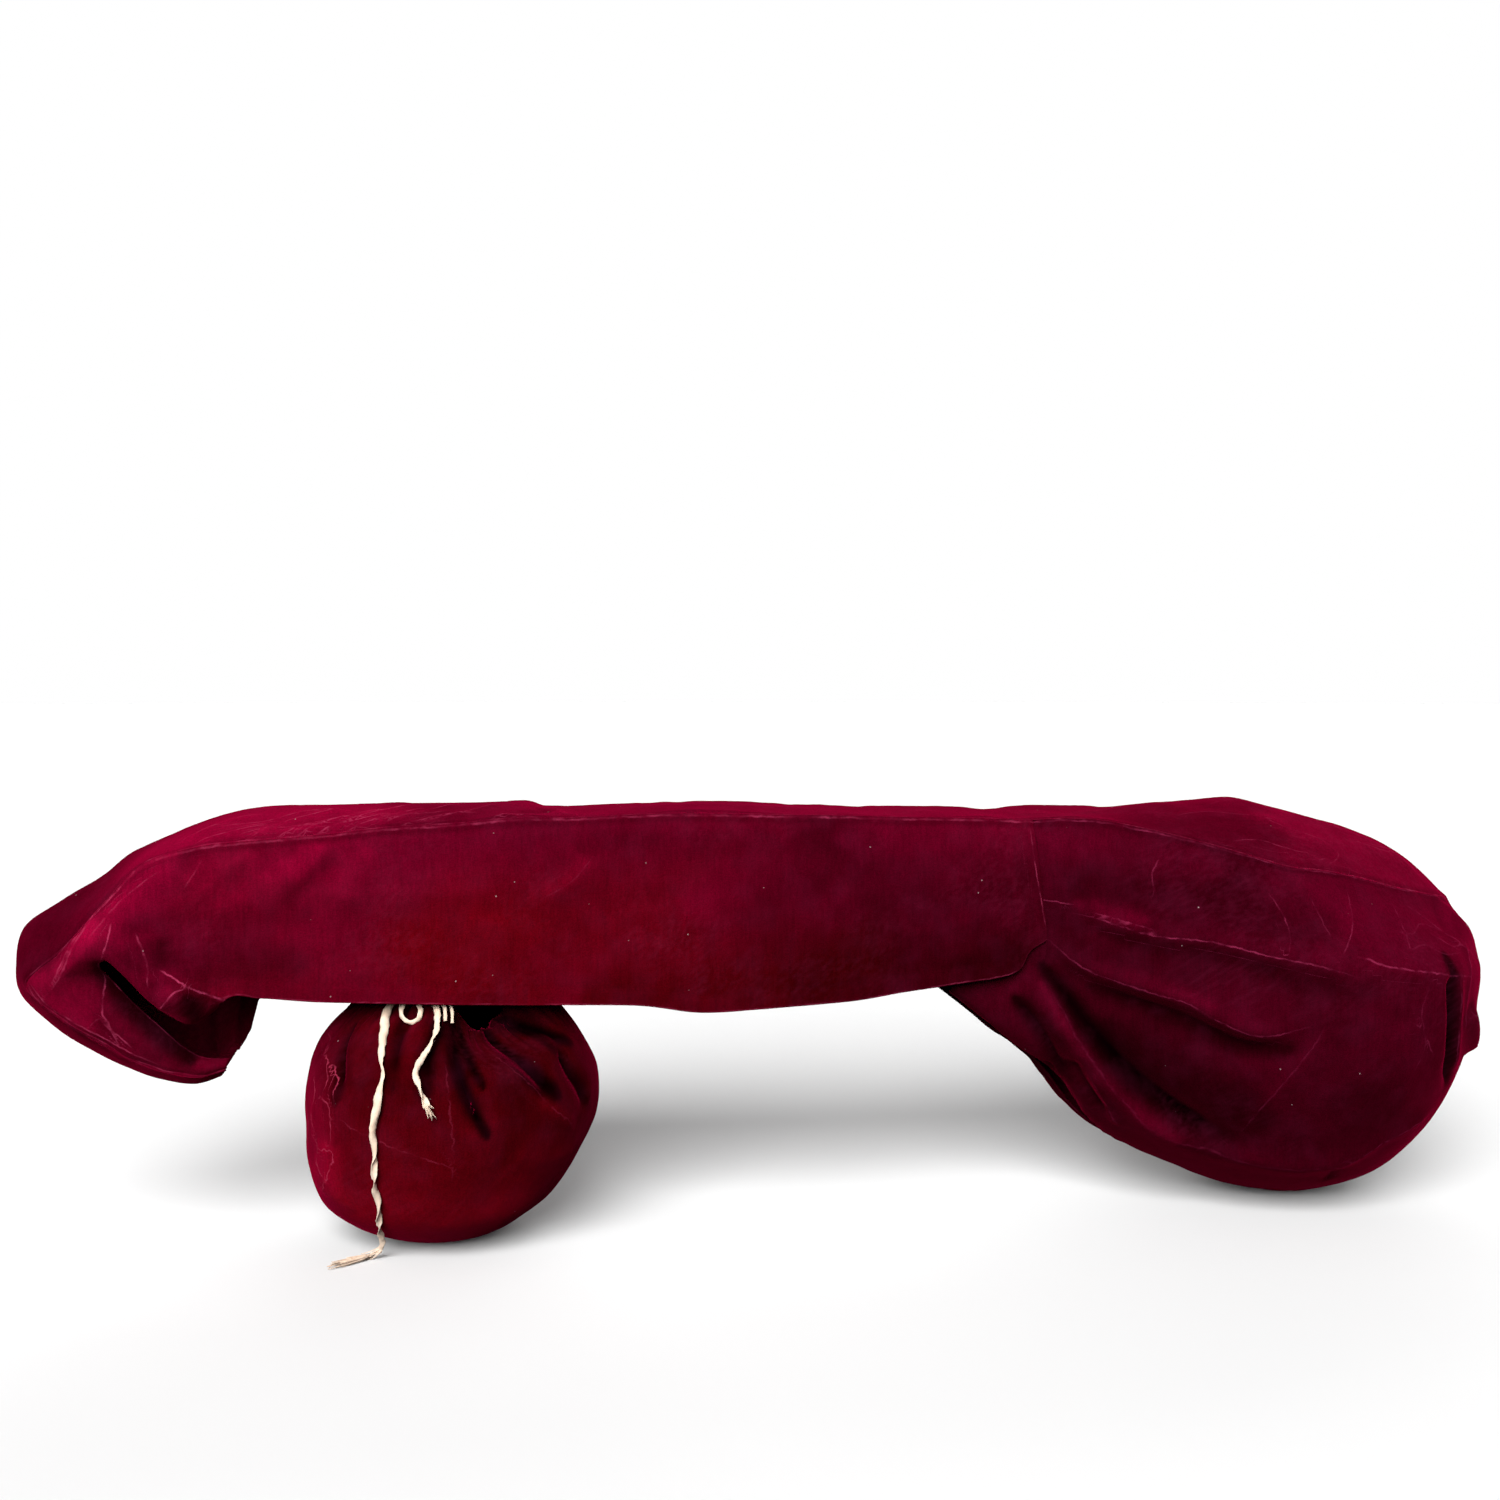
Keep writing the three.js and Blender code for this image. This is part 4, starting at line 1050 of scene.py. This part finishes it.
def top_panel(name, material):
    """The long strip, from the end of the bowl along the neck and around the head."""
    over_bowl = [row[:5] for row in reversed(BOWL_TOP)]
    over_neck = [(row[0], row[1], row[0], row[2], row[3]) for row in NECK]
    around_head = [row[:5] for row in HEAD]
    bowl_rows = even(between(over_bowl, CURVE_STEPS), TOP_GRAIN, [0, 1])
    neck_rows = even(between(over_neck + around_head, CURVE_STEPS), TOP_GRAIN, [0, 1])
    rows = np.concatenate([bowl_rows, neck_rows[1:]])
    v = 2 * shares_down(STRIP_COLUMNS, STRIP_WIDTH)[None, :, None] - 1
    share = np.abs(v) ** STRIP_ROUNDNESS
    crown_x, crown_z, seam_x, seam_y, seam_z = (rows[:, None, i : i + 1] for i in range(5))
    spots = (mix(crown_x, seam_x, share), v * seam_y, mix(crown_z, seam_z, share))
    grid = np.concatenate(spots, axis=2)
    u = np.linspace(0, 1, len(rows))[:, None]
    ends = smooth(0, STRIP_END_HELD, u) * smooth(0, STRIP_END_HELD, 1 - u)
    hold = smooth(0, STRIP_HELD, 1 - np.abs(v[..., 0])) * ends
    return dress_panel(
        name, grid, FRONT, [0, 1], TOP_FOLDS, TOP_STROKES, hold, STRIP_SEED, (1, 1), False, material
    )


def degrees_apart(angles, angle):
    return np.abs((angles - angle + 180) % 360 - 180)


def bag_form(angles, rings):
    """Radius and height around the bag, with the gathers pressed in and the mouth sunk in front."""
    heights = rings[None, :, 0]
    radius = rings[None, :, 1] + 0 * angles
    for angle, depth, spread, reach in GATHERS:
        low = BAG_MOUTH - reach
        pressed = np.exp(-((degrees_apart(angles, angle) / spread) ** TROUGH_SHARPNESS))
        radius = radius - depth * pressed * smooth(low, mix(low, BAG_MOUTH, GATHER_FULL), heights)
    apart = degrees_apart(angles, MOUTH_SINK_ANGLE) / MOUTH_SINK_SPREAD
    drop = MOUTH_SINK_DEPTH * np.exp(-(apart**MOUTH_SINK_SQUARENESS))
    return radius, heights - drop * smooth(MOUTH_SINK_START, BAG_MOUTH, heights)


def gourd_bag(name, material):
    """Bag as rings around its foot, gathered and sunk at the mouth, with the mouth turned in."""
    rings = even(between(BAG, CURVE_STEPS), BAG_GRAIN, [0, 1])
    last = len(rings) - 1
    angles = np.linspace(-180, 180, BAG_SIDES, endpoint=False)[:, None]
    heights = rings[None, :, 0]
    radius, z = bag_form(angles, rings)
    around = angles * BAG_DEGREE
    flat = np.stack(np.broadcast_arrays(around, z), axis=-1).reshape(-1, 2)
    folds = [([(angle * BAG_DEGREE, up) for angle, up in line], *rest) for line, *rest in BAG_FOLDS]
    # Painted shade in the troughs of the folds, and painted light and shade from the strokes.
    fields = (*fold_field(flat, folds), *shading_field(flat, BAG_STROKES))
    height, tone, crease, away, painted_shading, warmth = (field.reshape(radius.shape) for field in fields)
    pleats = ruffle(around, PLEAT_PITCH, PLEAT_SEED, PLEAT_WAVES)[:, None]
    pleats = pleats * smooth(*PLEATED, heights)
    radius = radius + height * smooth(*FOLDED_FROM, heights) + PLEAT_RISE * pleats
    # Painted shade in the hollows of the pleats.
    tone = tone + PLEAT_SHADE * np.minimum(pleats, 0)
    inward, rise = np.array(MOUTH_TURN_IN).T[:, None]
    radius = np.concatenate([radius, radius[:, last:] + inward], axis=1)
    z = np.concatenate([z, z[:, last:] + rise], axis=1)
    turned_in = 0 * angles + 0 * inward
    # Painted light and shade of the strokes; the turned-in edge of the mouth is painted dark as shade.
    tone = np.concatenate([tone + painted_shading, turned_in + MOUTH_SHADE], axis=1)
    warmth = np.concatenate([warmth, turned_in], axis=1)
    crease = np.concatenate([crease, turned_in], axis=1)
    away = np.concatenate([away, turned_in + CREASE_REACH], axis=1)
    centre = np.concatenate([rings[:, 2], rings[last, 2] + 0 * inward[0]])[None]
    turn = np.radians(angles)
    grid = np.stack([centre + radius * np.sin(turn), -radius * np.cos(turn), z + CLOTH_OUTSIDE], axis=2)
    normals = normals_of(grid, True, 1)
    bumps = crumple(grid, BAG_SEED) * smooth(*CRUMPLED_FROM, z) * (1 - smooth(*CRUMPLED_TO, z))
    grid = grid + normals * bumps[..., None]
    normals = normals_of(grid, True, 1)
    # Painted highlights where the bag bends outward.
    tone = tone + BEND_SHINE * ridge_shine(grid, normals, True)
    marks = {"painted_light_and_nap": tone, "warm": warmth, "crease": crease, "crease_away": away}
    return sheet_object(name, grid, normals, marks, True, 1, material)


def turned(first, second, angle):
    """Two coordinates turned by an angle in their plane."""
    c, s = math.cos(angle), math.sin(angle)
    return first * c - second * s, first * s + second * c


def tape_mesh(table, fray, seed):
    """Points and faces of a flat woven tape along its rows, with its whole centreline."""
    rows = between(table, TAPE_STEPS)
    path = rows[:, :3]

    def wander(amount, wavelength, offset):
        return amount * ruffle(path, wavelength, seed + offset)[:, None]

    along = unit(np.gradient(path, axis=0))
    across = unit(np.cross((0, 1, 0), along))
    up = np.cross(along, across)
    turn = np.radians(rows[:, 4:5]) + wander(*TAPE_TWIST)
    across, up = across * np.cos(turn) + up * np.sin(turn), up * np.cos(turn) - across * np.sin(turn)
    t = np.linspace(-1, 1, TAPE_ACROSS)
    half = rows[:, 3:4] / 2 * (TAPE_FULLNESS + wander(*TAPE_NARROWING))
    curl = (TAPE_CURL + wander(*TAPE_CURL_CHANGE)) * half * t**2
    curl = curl + wander(*TAPE_RIPPLE) * np.sin(TAPE_RIPPLE_TURN * t)
    flat = path[:, None] + across[:, None] * (half * t)[..., None] + up[:, None] * curl[..., None]
    edge = TAPE_THICKNESS / 2 * np.sqrt(np.maximum(1 - t**4, TAPE_EDGE))[None, :, None]
    ring = np.concatenate([flat + up[:, None] * edge, (flat - up[:, None] * edge)[:, ::-1]], axis=1)
    run = run_length(path)
    ring = ring[run <= run[-1] - fray]
    count, size = ring.shape[:2]
    index = np.arange(count * size).reshape(count, size)
    nextto = np.roll(index, -1, axis=1)
    quads = np.stack([index[:-1], nextto[:-1], nextto[1:], index[1:]], axis=-1).reshape(-1, 4)
    faces = quads.tolist() + [index[0][::-1].tolist(), index[-1].tolist()]
    return ring.reshape(-1, 3), faces, path


def thread_mesh(path, radius):
    """A loose yarn: a thin tube with flat sides that tapers along its path."""
    corners = range(YARN_SIDES)
    points = []
    for i, spot in enumerate(path):
        ahead = unit(path[min(i + 1, len(path) - 1)] - path[max(i - 1, 0)])
        side = unit(np.cross(ahead, YARN_ASIDE))
        other = np.cross(ahead, side)
        thin = radius * (1 - YARN_TAPER * i / (len(path) - 1))
        for corner in corners:
            turn = 2 * math.pi * corner / YARN_SIDES
            points.append(spot + thin * (side * math.cos(turn) + other * math.sin(turn)))
    last = len(points) - YARN_SIDES
    faces = [list(reversed(corners)), [last + corner for corner in corners]]
    for start in range(0, last, YARN_SIDES):
        for corner in corners:
            a = start + corner
            b = start + (corner + 1) % YARN_SIDES
            faces.append([a, b, b + YARN_SIDES, a + YARN_SIDES])
    return np.array(points), faces


def frayed(path, width, count, fray, seed):
    """Loose yarns that spread from the end of a tape and stop about where its path does."""
    rng = np.random.default_rng(seed + count)
    run = run_length(path)
    root = path[run <= run[-1] - fray][-1]
    ahead = unit(path[-1] - root)
    share = np.linspace(0, 1, YARN_SPOTS)[:, None]
    meshes = []
    for _ in range(count):
        sideways = unit(rng.normal(size=3)) * width * rng.uniform(0, 1)
        start = root - ahead * rng.uniform(*YARN_ROOT) + sideways * YARN_ROOT_SPREAD
        end = root + ahead * fray * rng.uniform(*YARN_REACH) + sideways * YARN_TIP_SPREAD
        bend = unit(rng.normal(size=3)) * rng.uniform(0, YARN_BEND)
        spots = mix(start, end, share) + bend * np.sin(math.pi * share)
        spots[:, 2] = np.maximum(spots[:, 2], YARN_LOWEST)
        meshes.append(thread_mesh(spots, rng.uniform(*YARN_RADIUS)))
    return meshes


def joined(meshes):
    """Several meshes as one list of points and one of faces."""
    points = []
    faces = []
    offset = 0
    for mesh_points, mesh_faces in meshes:
        points.append(mesh_points)
        faces += [[i + offset for i in face] for face in mesh_faces]
        offset += len(mesh_points)
    return np.concatenate(points), faces


def tape_object(name, table, tufts, dirt, seed, material):
    """Tape with tufts of loose yarn, and its centreline in metres."""
    fray = tufts[0][2] if tufts else 0
    points, faces, path = tape_mesh(table, fray, seed)
    run = run_length(path)
    meshes = [(points, faces)]
    for share, threads, length in tufts:
        meshes += frayed(path[run <= share * run[-1]], table[-1][3], threads, length, seed)
    points, faces = joined(meshes)
    grubby = dirt * (1 - smooth(0, DIRT_REACH, np.linalg.norm(points - path[-1], axis=1)))
    piece = linked_object(name, points, faces, material, {"dirt": grubby})
    return piece, (path - (0, 0, TOP_UNDERSIDE)) * MM


def knot_object(name, material):
    """The tie's knot: three bands of tape drawn tight around each other, and two short strands."""
    meshes = [tape_mesh(strand, 0, i)[:2] for i, strand in enumerate(STRANDS)]
    around = np.linspace(0, 2 * math.pi, BAND_SIDES, endpoint=False)[:, None]
    across = np.linspace(0, 2 * math.pi, BAND_CORNERS, endpoint=False)[None]
    index = np.arange(BAND_SIDES * BAND_CORNERS).reshape(BAND_SIDES, BAND_CORNERS)
    after = np.roll(index, -1, axis=0)
    quads = np.stack([index, after, np.roll(after, -1, axis=1), np.roll(index, -1, axis=1)], axis=-1)
    for tilt, lean, size in KNOT_BANDS:
        ring = BAND_RADIUS * size + BAND_THICKNESS * np.cos(across)
        x = ring * np.cos(around)
        y = ring * np.sin(around) * BAND_ROUNDNESS
        z = BAND_HEIGHT * np.sin(across) + 0 * x
        x, z = turned(x, z, math.radians(tilt))
        y, z = turned(y, z, math.radians(lean))
        points = np.stack([x, y * KNOT_FLATNESS, z], axis=2).reshape(-1, 3) + KNOT_AT
        meshes.append((points, quads.reshape(-1, 4).tolist()))
    points, faces = joined(meshes)
    return linked_object(name, points, faces, material, {"dirt": KNOT_DIRT + 0 * points[:, 0]})


def feed(tree, socket, value):
    """Sets an input, or links it where the value is another node's output."""
    if isinstance(value, bpy.types.NodeSocket):
        tree.links.new(value, socket)
    else:
        socket.default_value = value


def add_node(tree, kind, **values):
    """Adds a node; values named in_0, in_Scale and so on go to its inputs, the rest are settings."""
    node = tree.nodes.new(kind)
    for key, value in values.items():
        if key.startswith("in_"):
            name = key[3:]
            feed(tree, node.inputs[int(name) if name.isdigit() else name], value)
        else:
            setattr(node, key, value)
    return node


def new_material(name):
    """A material and its node tree."""
    material = bpy.data.materials.new(name)
    material.use_nodes = True
    return material, material.node_tree


def object_place(tree):
    return add_node(tree, "ShaderNodeTexCoord").outputs["Object"]


def set_shader(tree, inputs):
    """Sets or links the inputs of a material's shader."""
    for name, value in inputs.items():
        feed(tree, tree.nodes["Principled BSDF"].inputs[name], value)


def noise(tree, place, scale, detail):
    node = add_node(tree, "ShaderNodeTexNoise", in_Vector=place, in_Scale=scale, in_Detail=detail)
    return node.outputs["Fac"]


def mixed(tree, share, first, second):
    """Mix of two colours; each may be a colour or another node's output."""
    node = add_node(tree, "ShaderNodeMix", data_type="RGBA", in_0=share, in_6=first, in_7=second)
    return node.outputs[2]


def remap(tree, value, source, target):
    """A number brought from one range, given by its two ends, to another."""
    node = add_node(tree, "ShaderNodeMapRange")
    for socket, term in zip(node.inputs, (value, *source, *target)):
        feed(tree, socket, term)
    return node.outputs[0]


def maths(tree, operation, *terms):
    node = add_node(tree, "ShaderNodeMath", operation=operation)
    for socket, term in zip(node.inputs, terms):
        feed(tree, socket, term)
    return node.outputs[0]


def times(tree, *factors):
    """Product of several numbers, each from another node."""
    total = factors[0]
    for factor in factors[1:]:
        total = maths(tree, "MULTIPLY", total, factor)
    return total


def uneven(tree, texture, amount):
    """A noise as a factor that lies around 1."""
    return remap(tree, texture, NOISE_RANGE, (1 - amount, 1 + amount))


def point_value(tree, label):
    """Number that the mesh keeps on its points under this name."""
    return add_node(tree, "ShaderNodeAttribute", attribute_name=label).outputs["Fac"]


def bumped(tree, texture, strength, distance):
    bump = add_node(tree, "ShaderNodeBump", in_Strength=strength, in_Distance=distance, in_Height=texture)
    return bump.outputs["Normal"]


def lint_specks(tree, place):
    """A few pale specks of lint, far apart."""
    cells = add_node(tree, "ShaderNodeTexVoronoi", in_Vector=place, in_Scale=LINT_PER_METRE)
    speck = remap(tree, cells.outputs["Distance"], LINT_SIZE, (1, 0))
    chosen = add_node(tree, "ShaderNodeSeparateColor", in_0=cells.outputs["Color"])
    return times(tree, speck, remap(tree, chosen.outputs[0], LINT_CHOICE, (0, LINT_STRENGTH)))


def pressed_pile(tree, place, amount):
    """Short pale streaks, in patches, where the pile was pressed."""
    slanted = add_node(
        tree,
        "ShaderNodeMapping",
        vector_type="TEXTURE",
        in_Vector=place,
        in_Rotation=STREAK_TURN,
        in_Scale=STREAK_STRETCH,
    )
    streak = remap(tree, noise(tree, slanted.outputs[0], *STREAK_NOISE), STREAK_EDGE, (0, 1))
    patch = remap(tree, noise(tree, place, *PATCH_NOISE), PATCH_EDGE, (0, amount))
    return times(tree, streak, patch)


def placed_creases(tree, place, waver):
    """Thin pale lines along the creases and seams that the points know of: painted highlight of the folded
    pile, partly worn pile, broken up by wear.
    """
    wobble = remap(tree, noise(tree, place, *WAVER_NOISE), NOISE_RANGE, (-waver, waver))
    away = maths(tree, "ADD", point_value(tree, "crease_away"), wobble)
    line = remap(tree, maths(tree, "ABSOLUTE", away), CREASE_LINE, (1, 0))
    worn = remap(tree, noise(tree, place, *WORN_NOISE), WORN_EDGE, WORN_STRENGTH)
    return times(tree, line, worn, point_value(tree, "crease"))


def velvet(name, cool, warm, gleam, pressed, waver):
    """Cut-pile velvet: mottled crimson, lightened and darkened by painted light and shade, with painted
    highlights where the pile is bent, and a soft sheen.
    """
    material, tree = new_material(name)
    place = object_place(tree)
    upright = add_node(tree, "ShaderNodeMapping", in_Vector=place, in_Scale=PILE_STRETCH)
    grain = noise(tree, place, *GRAIN_NOISE)
    # Painted light and shade kept on the points, with the lay of the pile, lighten or darken the colour.
    strength = times(
        tree,
        maths(tree, "POWER", LIGHT_AND_NAP_RANGE, point_value(tree, "painted_light_and_nap")),
        uneven(tree, noise(tree, place, *CLOUD_NOISE), CLOUD_CHANGE),
        uneven(tree, noise(tree, place, *MOTTLE_NOISE), MOTTLE_CHANGE),
        uneven(tree, noise(tree, upright.outputs[0], *PILE_NOISE), PILE_CHANGE),
        uneven(tree, grain, GRAIN_CHANGE),
    )
    colour = mixed(tree, point_value(tree, "warm"), (*cool, 1), (*warm, 1))
    toned = add_node(tree, "ShaderNodeVectorMath", operation="SCALE", in_0=colour, in_Scale=strength)
    dust = remap(tree, noise(tree, place, *DUST_NOISE), DUST_EDGE, (0, DUST_STRENGTH))
    colour = mixed(tree, dust, toned.outputs[0], DUST)
    colour = mixed(tree, pressed_pile(tree, place, pressed), colour, (*gleam, 1))
    # Painted highlight along creases and seams, partly worn pile.
    colour = mixed(tree, placed_creases(tree, place, waver), colour, (*gleam, 1))
    colour = mixed(tree, lint_specks(tree, place), colour, LINT)
    set_shader(tree, VELVET_SHADER)
    set_shader(tree, {"Base Color": colour, "Normal": bumped(tree, grain, *PILE_BUMP)})
    return material


def cotton_tape(name):
    """Cream cotton tape: fine weave, uneven colour and a grubby end."""
    material, tree = new_material(name)
    place = object_place(tree)
    yarn = noise(tree, place, *YARN_NOISE)
    patch = remap(tree, noise(tree, place, *COTTON_NOISE), COTTON_EDGE, (0, 1))
    colour = mixed(tree, patch, COTTON_PALE, COTTON_DARK)
    # Painted shade in the gaps between the yarns.
    colour = mixed(tree, remap(tree, yarn, YARN_EDGE, (YARN_SHADE, 0)), colour, COTTON_GAP)
    dirt = remap(tree, point_value(tree, "dirt"), (0, 1), (0, DIRT_STRENGTH))
    colour = mixed(tree, dirt, colour, DIRT)
    roughness = remap(tree, yarn, NOISE_RANGE, COTTON_ROUGHNESS)
    set_shader(tree, COTTON_SHADER)
    set_shader(tree, {"Base Color": colour, "Roughness": roughness})
    set_shader(tree, {"Normal": bumped(tree, yarn, *YARN_BUMP)})
    return material


def stage_object(mesh, material):
    """Floor or backdrop, which lends the cloth no light of its own."""
    mesh.materials.append(material)
    piece = bpy.data.objects.new(mesh.name, mesh)
    piece.visible_diffuse = False
    piece.visible_glossy = False
    bpy.context.scene.collection.objects.link(piece)
    return piece


def studio_floor():
    """Pale floor that catches the soft shadow."""
    material, tree = new_material("pale_floor")
    place = object_place(tree)
    tone = remap(tree, noise(tree, place, *FLOOR_NOISE), NOISE_RANGE, (0, 1))
    set_shader(tree, FLOOR_SHADER)
    set_shader(tree, {"Base Color": mixed(tree, tone, *FLOOR_COLOURS)})
    half = 2 * BACKDROP_RADIUS
    z = min(-TOP_UNDERSIDE * MM, CAD_BOX[0][2])
    mesh = bpy.data.meshes.new("floor")
    corners = [(-half, -half, z), (half, -half, z), (half, half, z), (-half, half, z)]
    mesh.from_pydata(corners, [], [(0, 1, 2, 3)])
    stage_object(mesh, material)


def studio_backdrop():
    """White dome far around the object, behind the floor's horizon."""
    material, tree = new_material("white_backdrop")
    set_shader(tree, BACKDROP_SHADER)
    shape = bmesh.new()
    bmesh.ops.create_uvsphere(shape, u_segments=48, v_segments=24, radius=BACKDROP_RADIUS)
    mesh = bpy.data.meshes.new("backdrop")
    shape.to_mesh(mesh)
    shape.free()
    backdrop = stage_object(mesh, material)
    backdrop.visible_transmission = False
    backdrop.visible_shadow = False


def studio_light():
    """Broad soft light from the front and above, weaker light from behind, a sky dim near the floor."""
    scene = bpy.context.scene
    scene.view_settings.view_transform = "Standard"
    world = bpy.data.worlds.new("studio")
    scene.world = world
    world.use_nodes = True
    tree = world.node_tree
    place = add_node(tree, "ShaderNodeTexCoord").outputs["Generated"]
    split = add_node(tree, "ShaderNodeSeparateXYZ", in_0=place)
    up = remap(tree, split.outputs[2], SKY_EDGE, (0, 1))
    feed(tree, tree.nodes["Background"].inputs["Color"], mixed(tree, up, SKY_LOW, SKY_HIGH))
    for name, strength, softness, high, around in LIGHTS:
        lamp = bpy.data.lights.new(name, "SUN")
        lamp.energy = strength
        lamp.angle = math.radians(softness)
        holder = bpy.data.objects.new(name, lamp)
        holder.rotation_euler = (math.radians(90 - high), 0, math.radians(-around))
        scene.collection.objects.link(holder)


def photo_camera():
    """Camera at the photograph's place, level, with its picture shifted to the horizon."""
    data = bpy.data.cameras.new("photo_camera")
    data.sensor_width = SENSOR
    data.lens = SENSOR * PHOTO_FOCAL / PHOTO_SIZE
    data.shift_y = -(PHOTO_SIZE / 2 - PHOTO_HORIZON) / PHOTO_SIZE
    camera = bpy.data.objects.new("photo_camera", data)
    yaw = math.radians(CAMERA_YAW)
    x = -CAMERA_DISTANCE * math.sin(yaw)
    y = -CAMERA_DISTANCE * math.cos(yaw)
    camera.location = (x * MM, y * MM, (CAMERA_HEIGHT - TOP_UNDERSIDE) * MM)
    camera.rotation_euler = (math.pi / 2, 0, -yaw)
    bpy.context.scene.collection.objects.link(camera)
    bpy.context.scene.camera = camera


def place_piece(piece, node):
    """Puts a piece in the place of its solid."""
    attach(piece, "root")
    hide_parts(node)
    return piece


photo_camera()
studio_light()
studio_floor()
studio_backdrop()

cover_velvet = velvet("cover_velvet", *COVER_PILE)
bowl_velvet = velvet("bowl_velvet", *BOWL_PILE)
bag_velvet = velvet("bag_velvet", *BAG_PILE)
tape_cotton = cotton_tape("tape_cotton")

top = place_piece(top_panel("top_sheet", cover_velvet), "top_panel")
for node, make, side, grain, folds, strokes, seed, cloth in (
    ("neck_front", neck_panel, FRONT, FLAP_GRAIN, NECK_FOLDS, NECK_STROKES, 3, cover_velvet),
    ("neck_back", neck_panel, BACK, BACK_GRAIN, NECK_BACK_FOLDS, NECK_BACK_STROKES, 4, cover_velvet),
    ("bowl_front", bowl_panel, FRONT, BOWL_GRAIN, BOWL_FOLDS, BOWL_STROKES, 5, bowl_velvet),
    ("bowl_back", bowl_panel, BACK, BACK_GRAIN, BOWL_BACK_FOLDS, BOWL_BACK_STROKES, 6, bowl_velvet),
):
    panel = make(f"{node}_sheet", side, grain, folds, strokes, seed, cloth)
    place_piece(panel, node)
bag = place_piece(gourd_bag("gourd_bag_sheet", bag_velvet), "gourd_bag")

knot = place_piece(knot_object("tie_knot_wraps", tape_cotton), "tie_knot")
for label, table, tufts, dirt, seed, length, width, far_end, lay in (
    ("tie_long_end", LONG_END, LONG_TUFTS, 1, 12, 0.311, 0.008, "bare", "hanging"),
    ("tie_short_end", SHORT_END, SHORT_TUFTS, 0, 13, 0.134, 0.008, "bare", "hanging"),
    ("tie_loop", LOOP, (), 0, 8, 0.082, 0.005, "object", "loose"),
):
    piece, path = tape_object(f"{label}_tape", table, tufts, dirt, seed, tape_cotton)
    place_piece(piece, label)
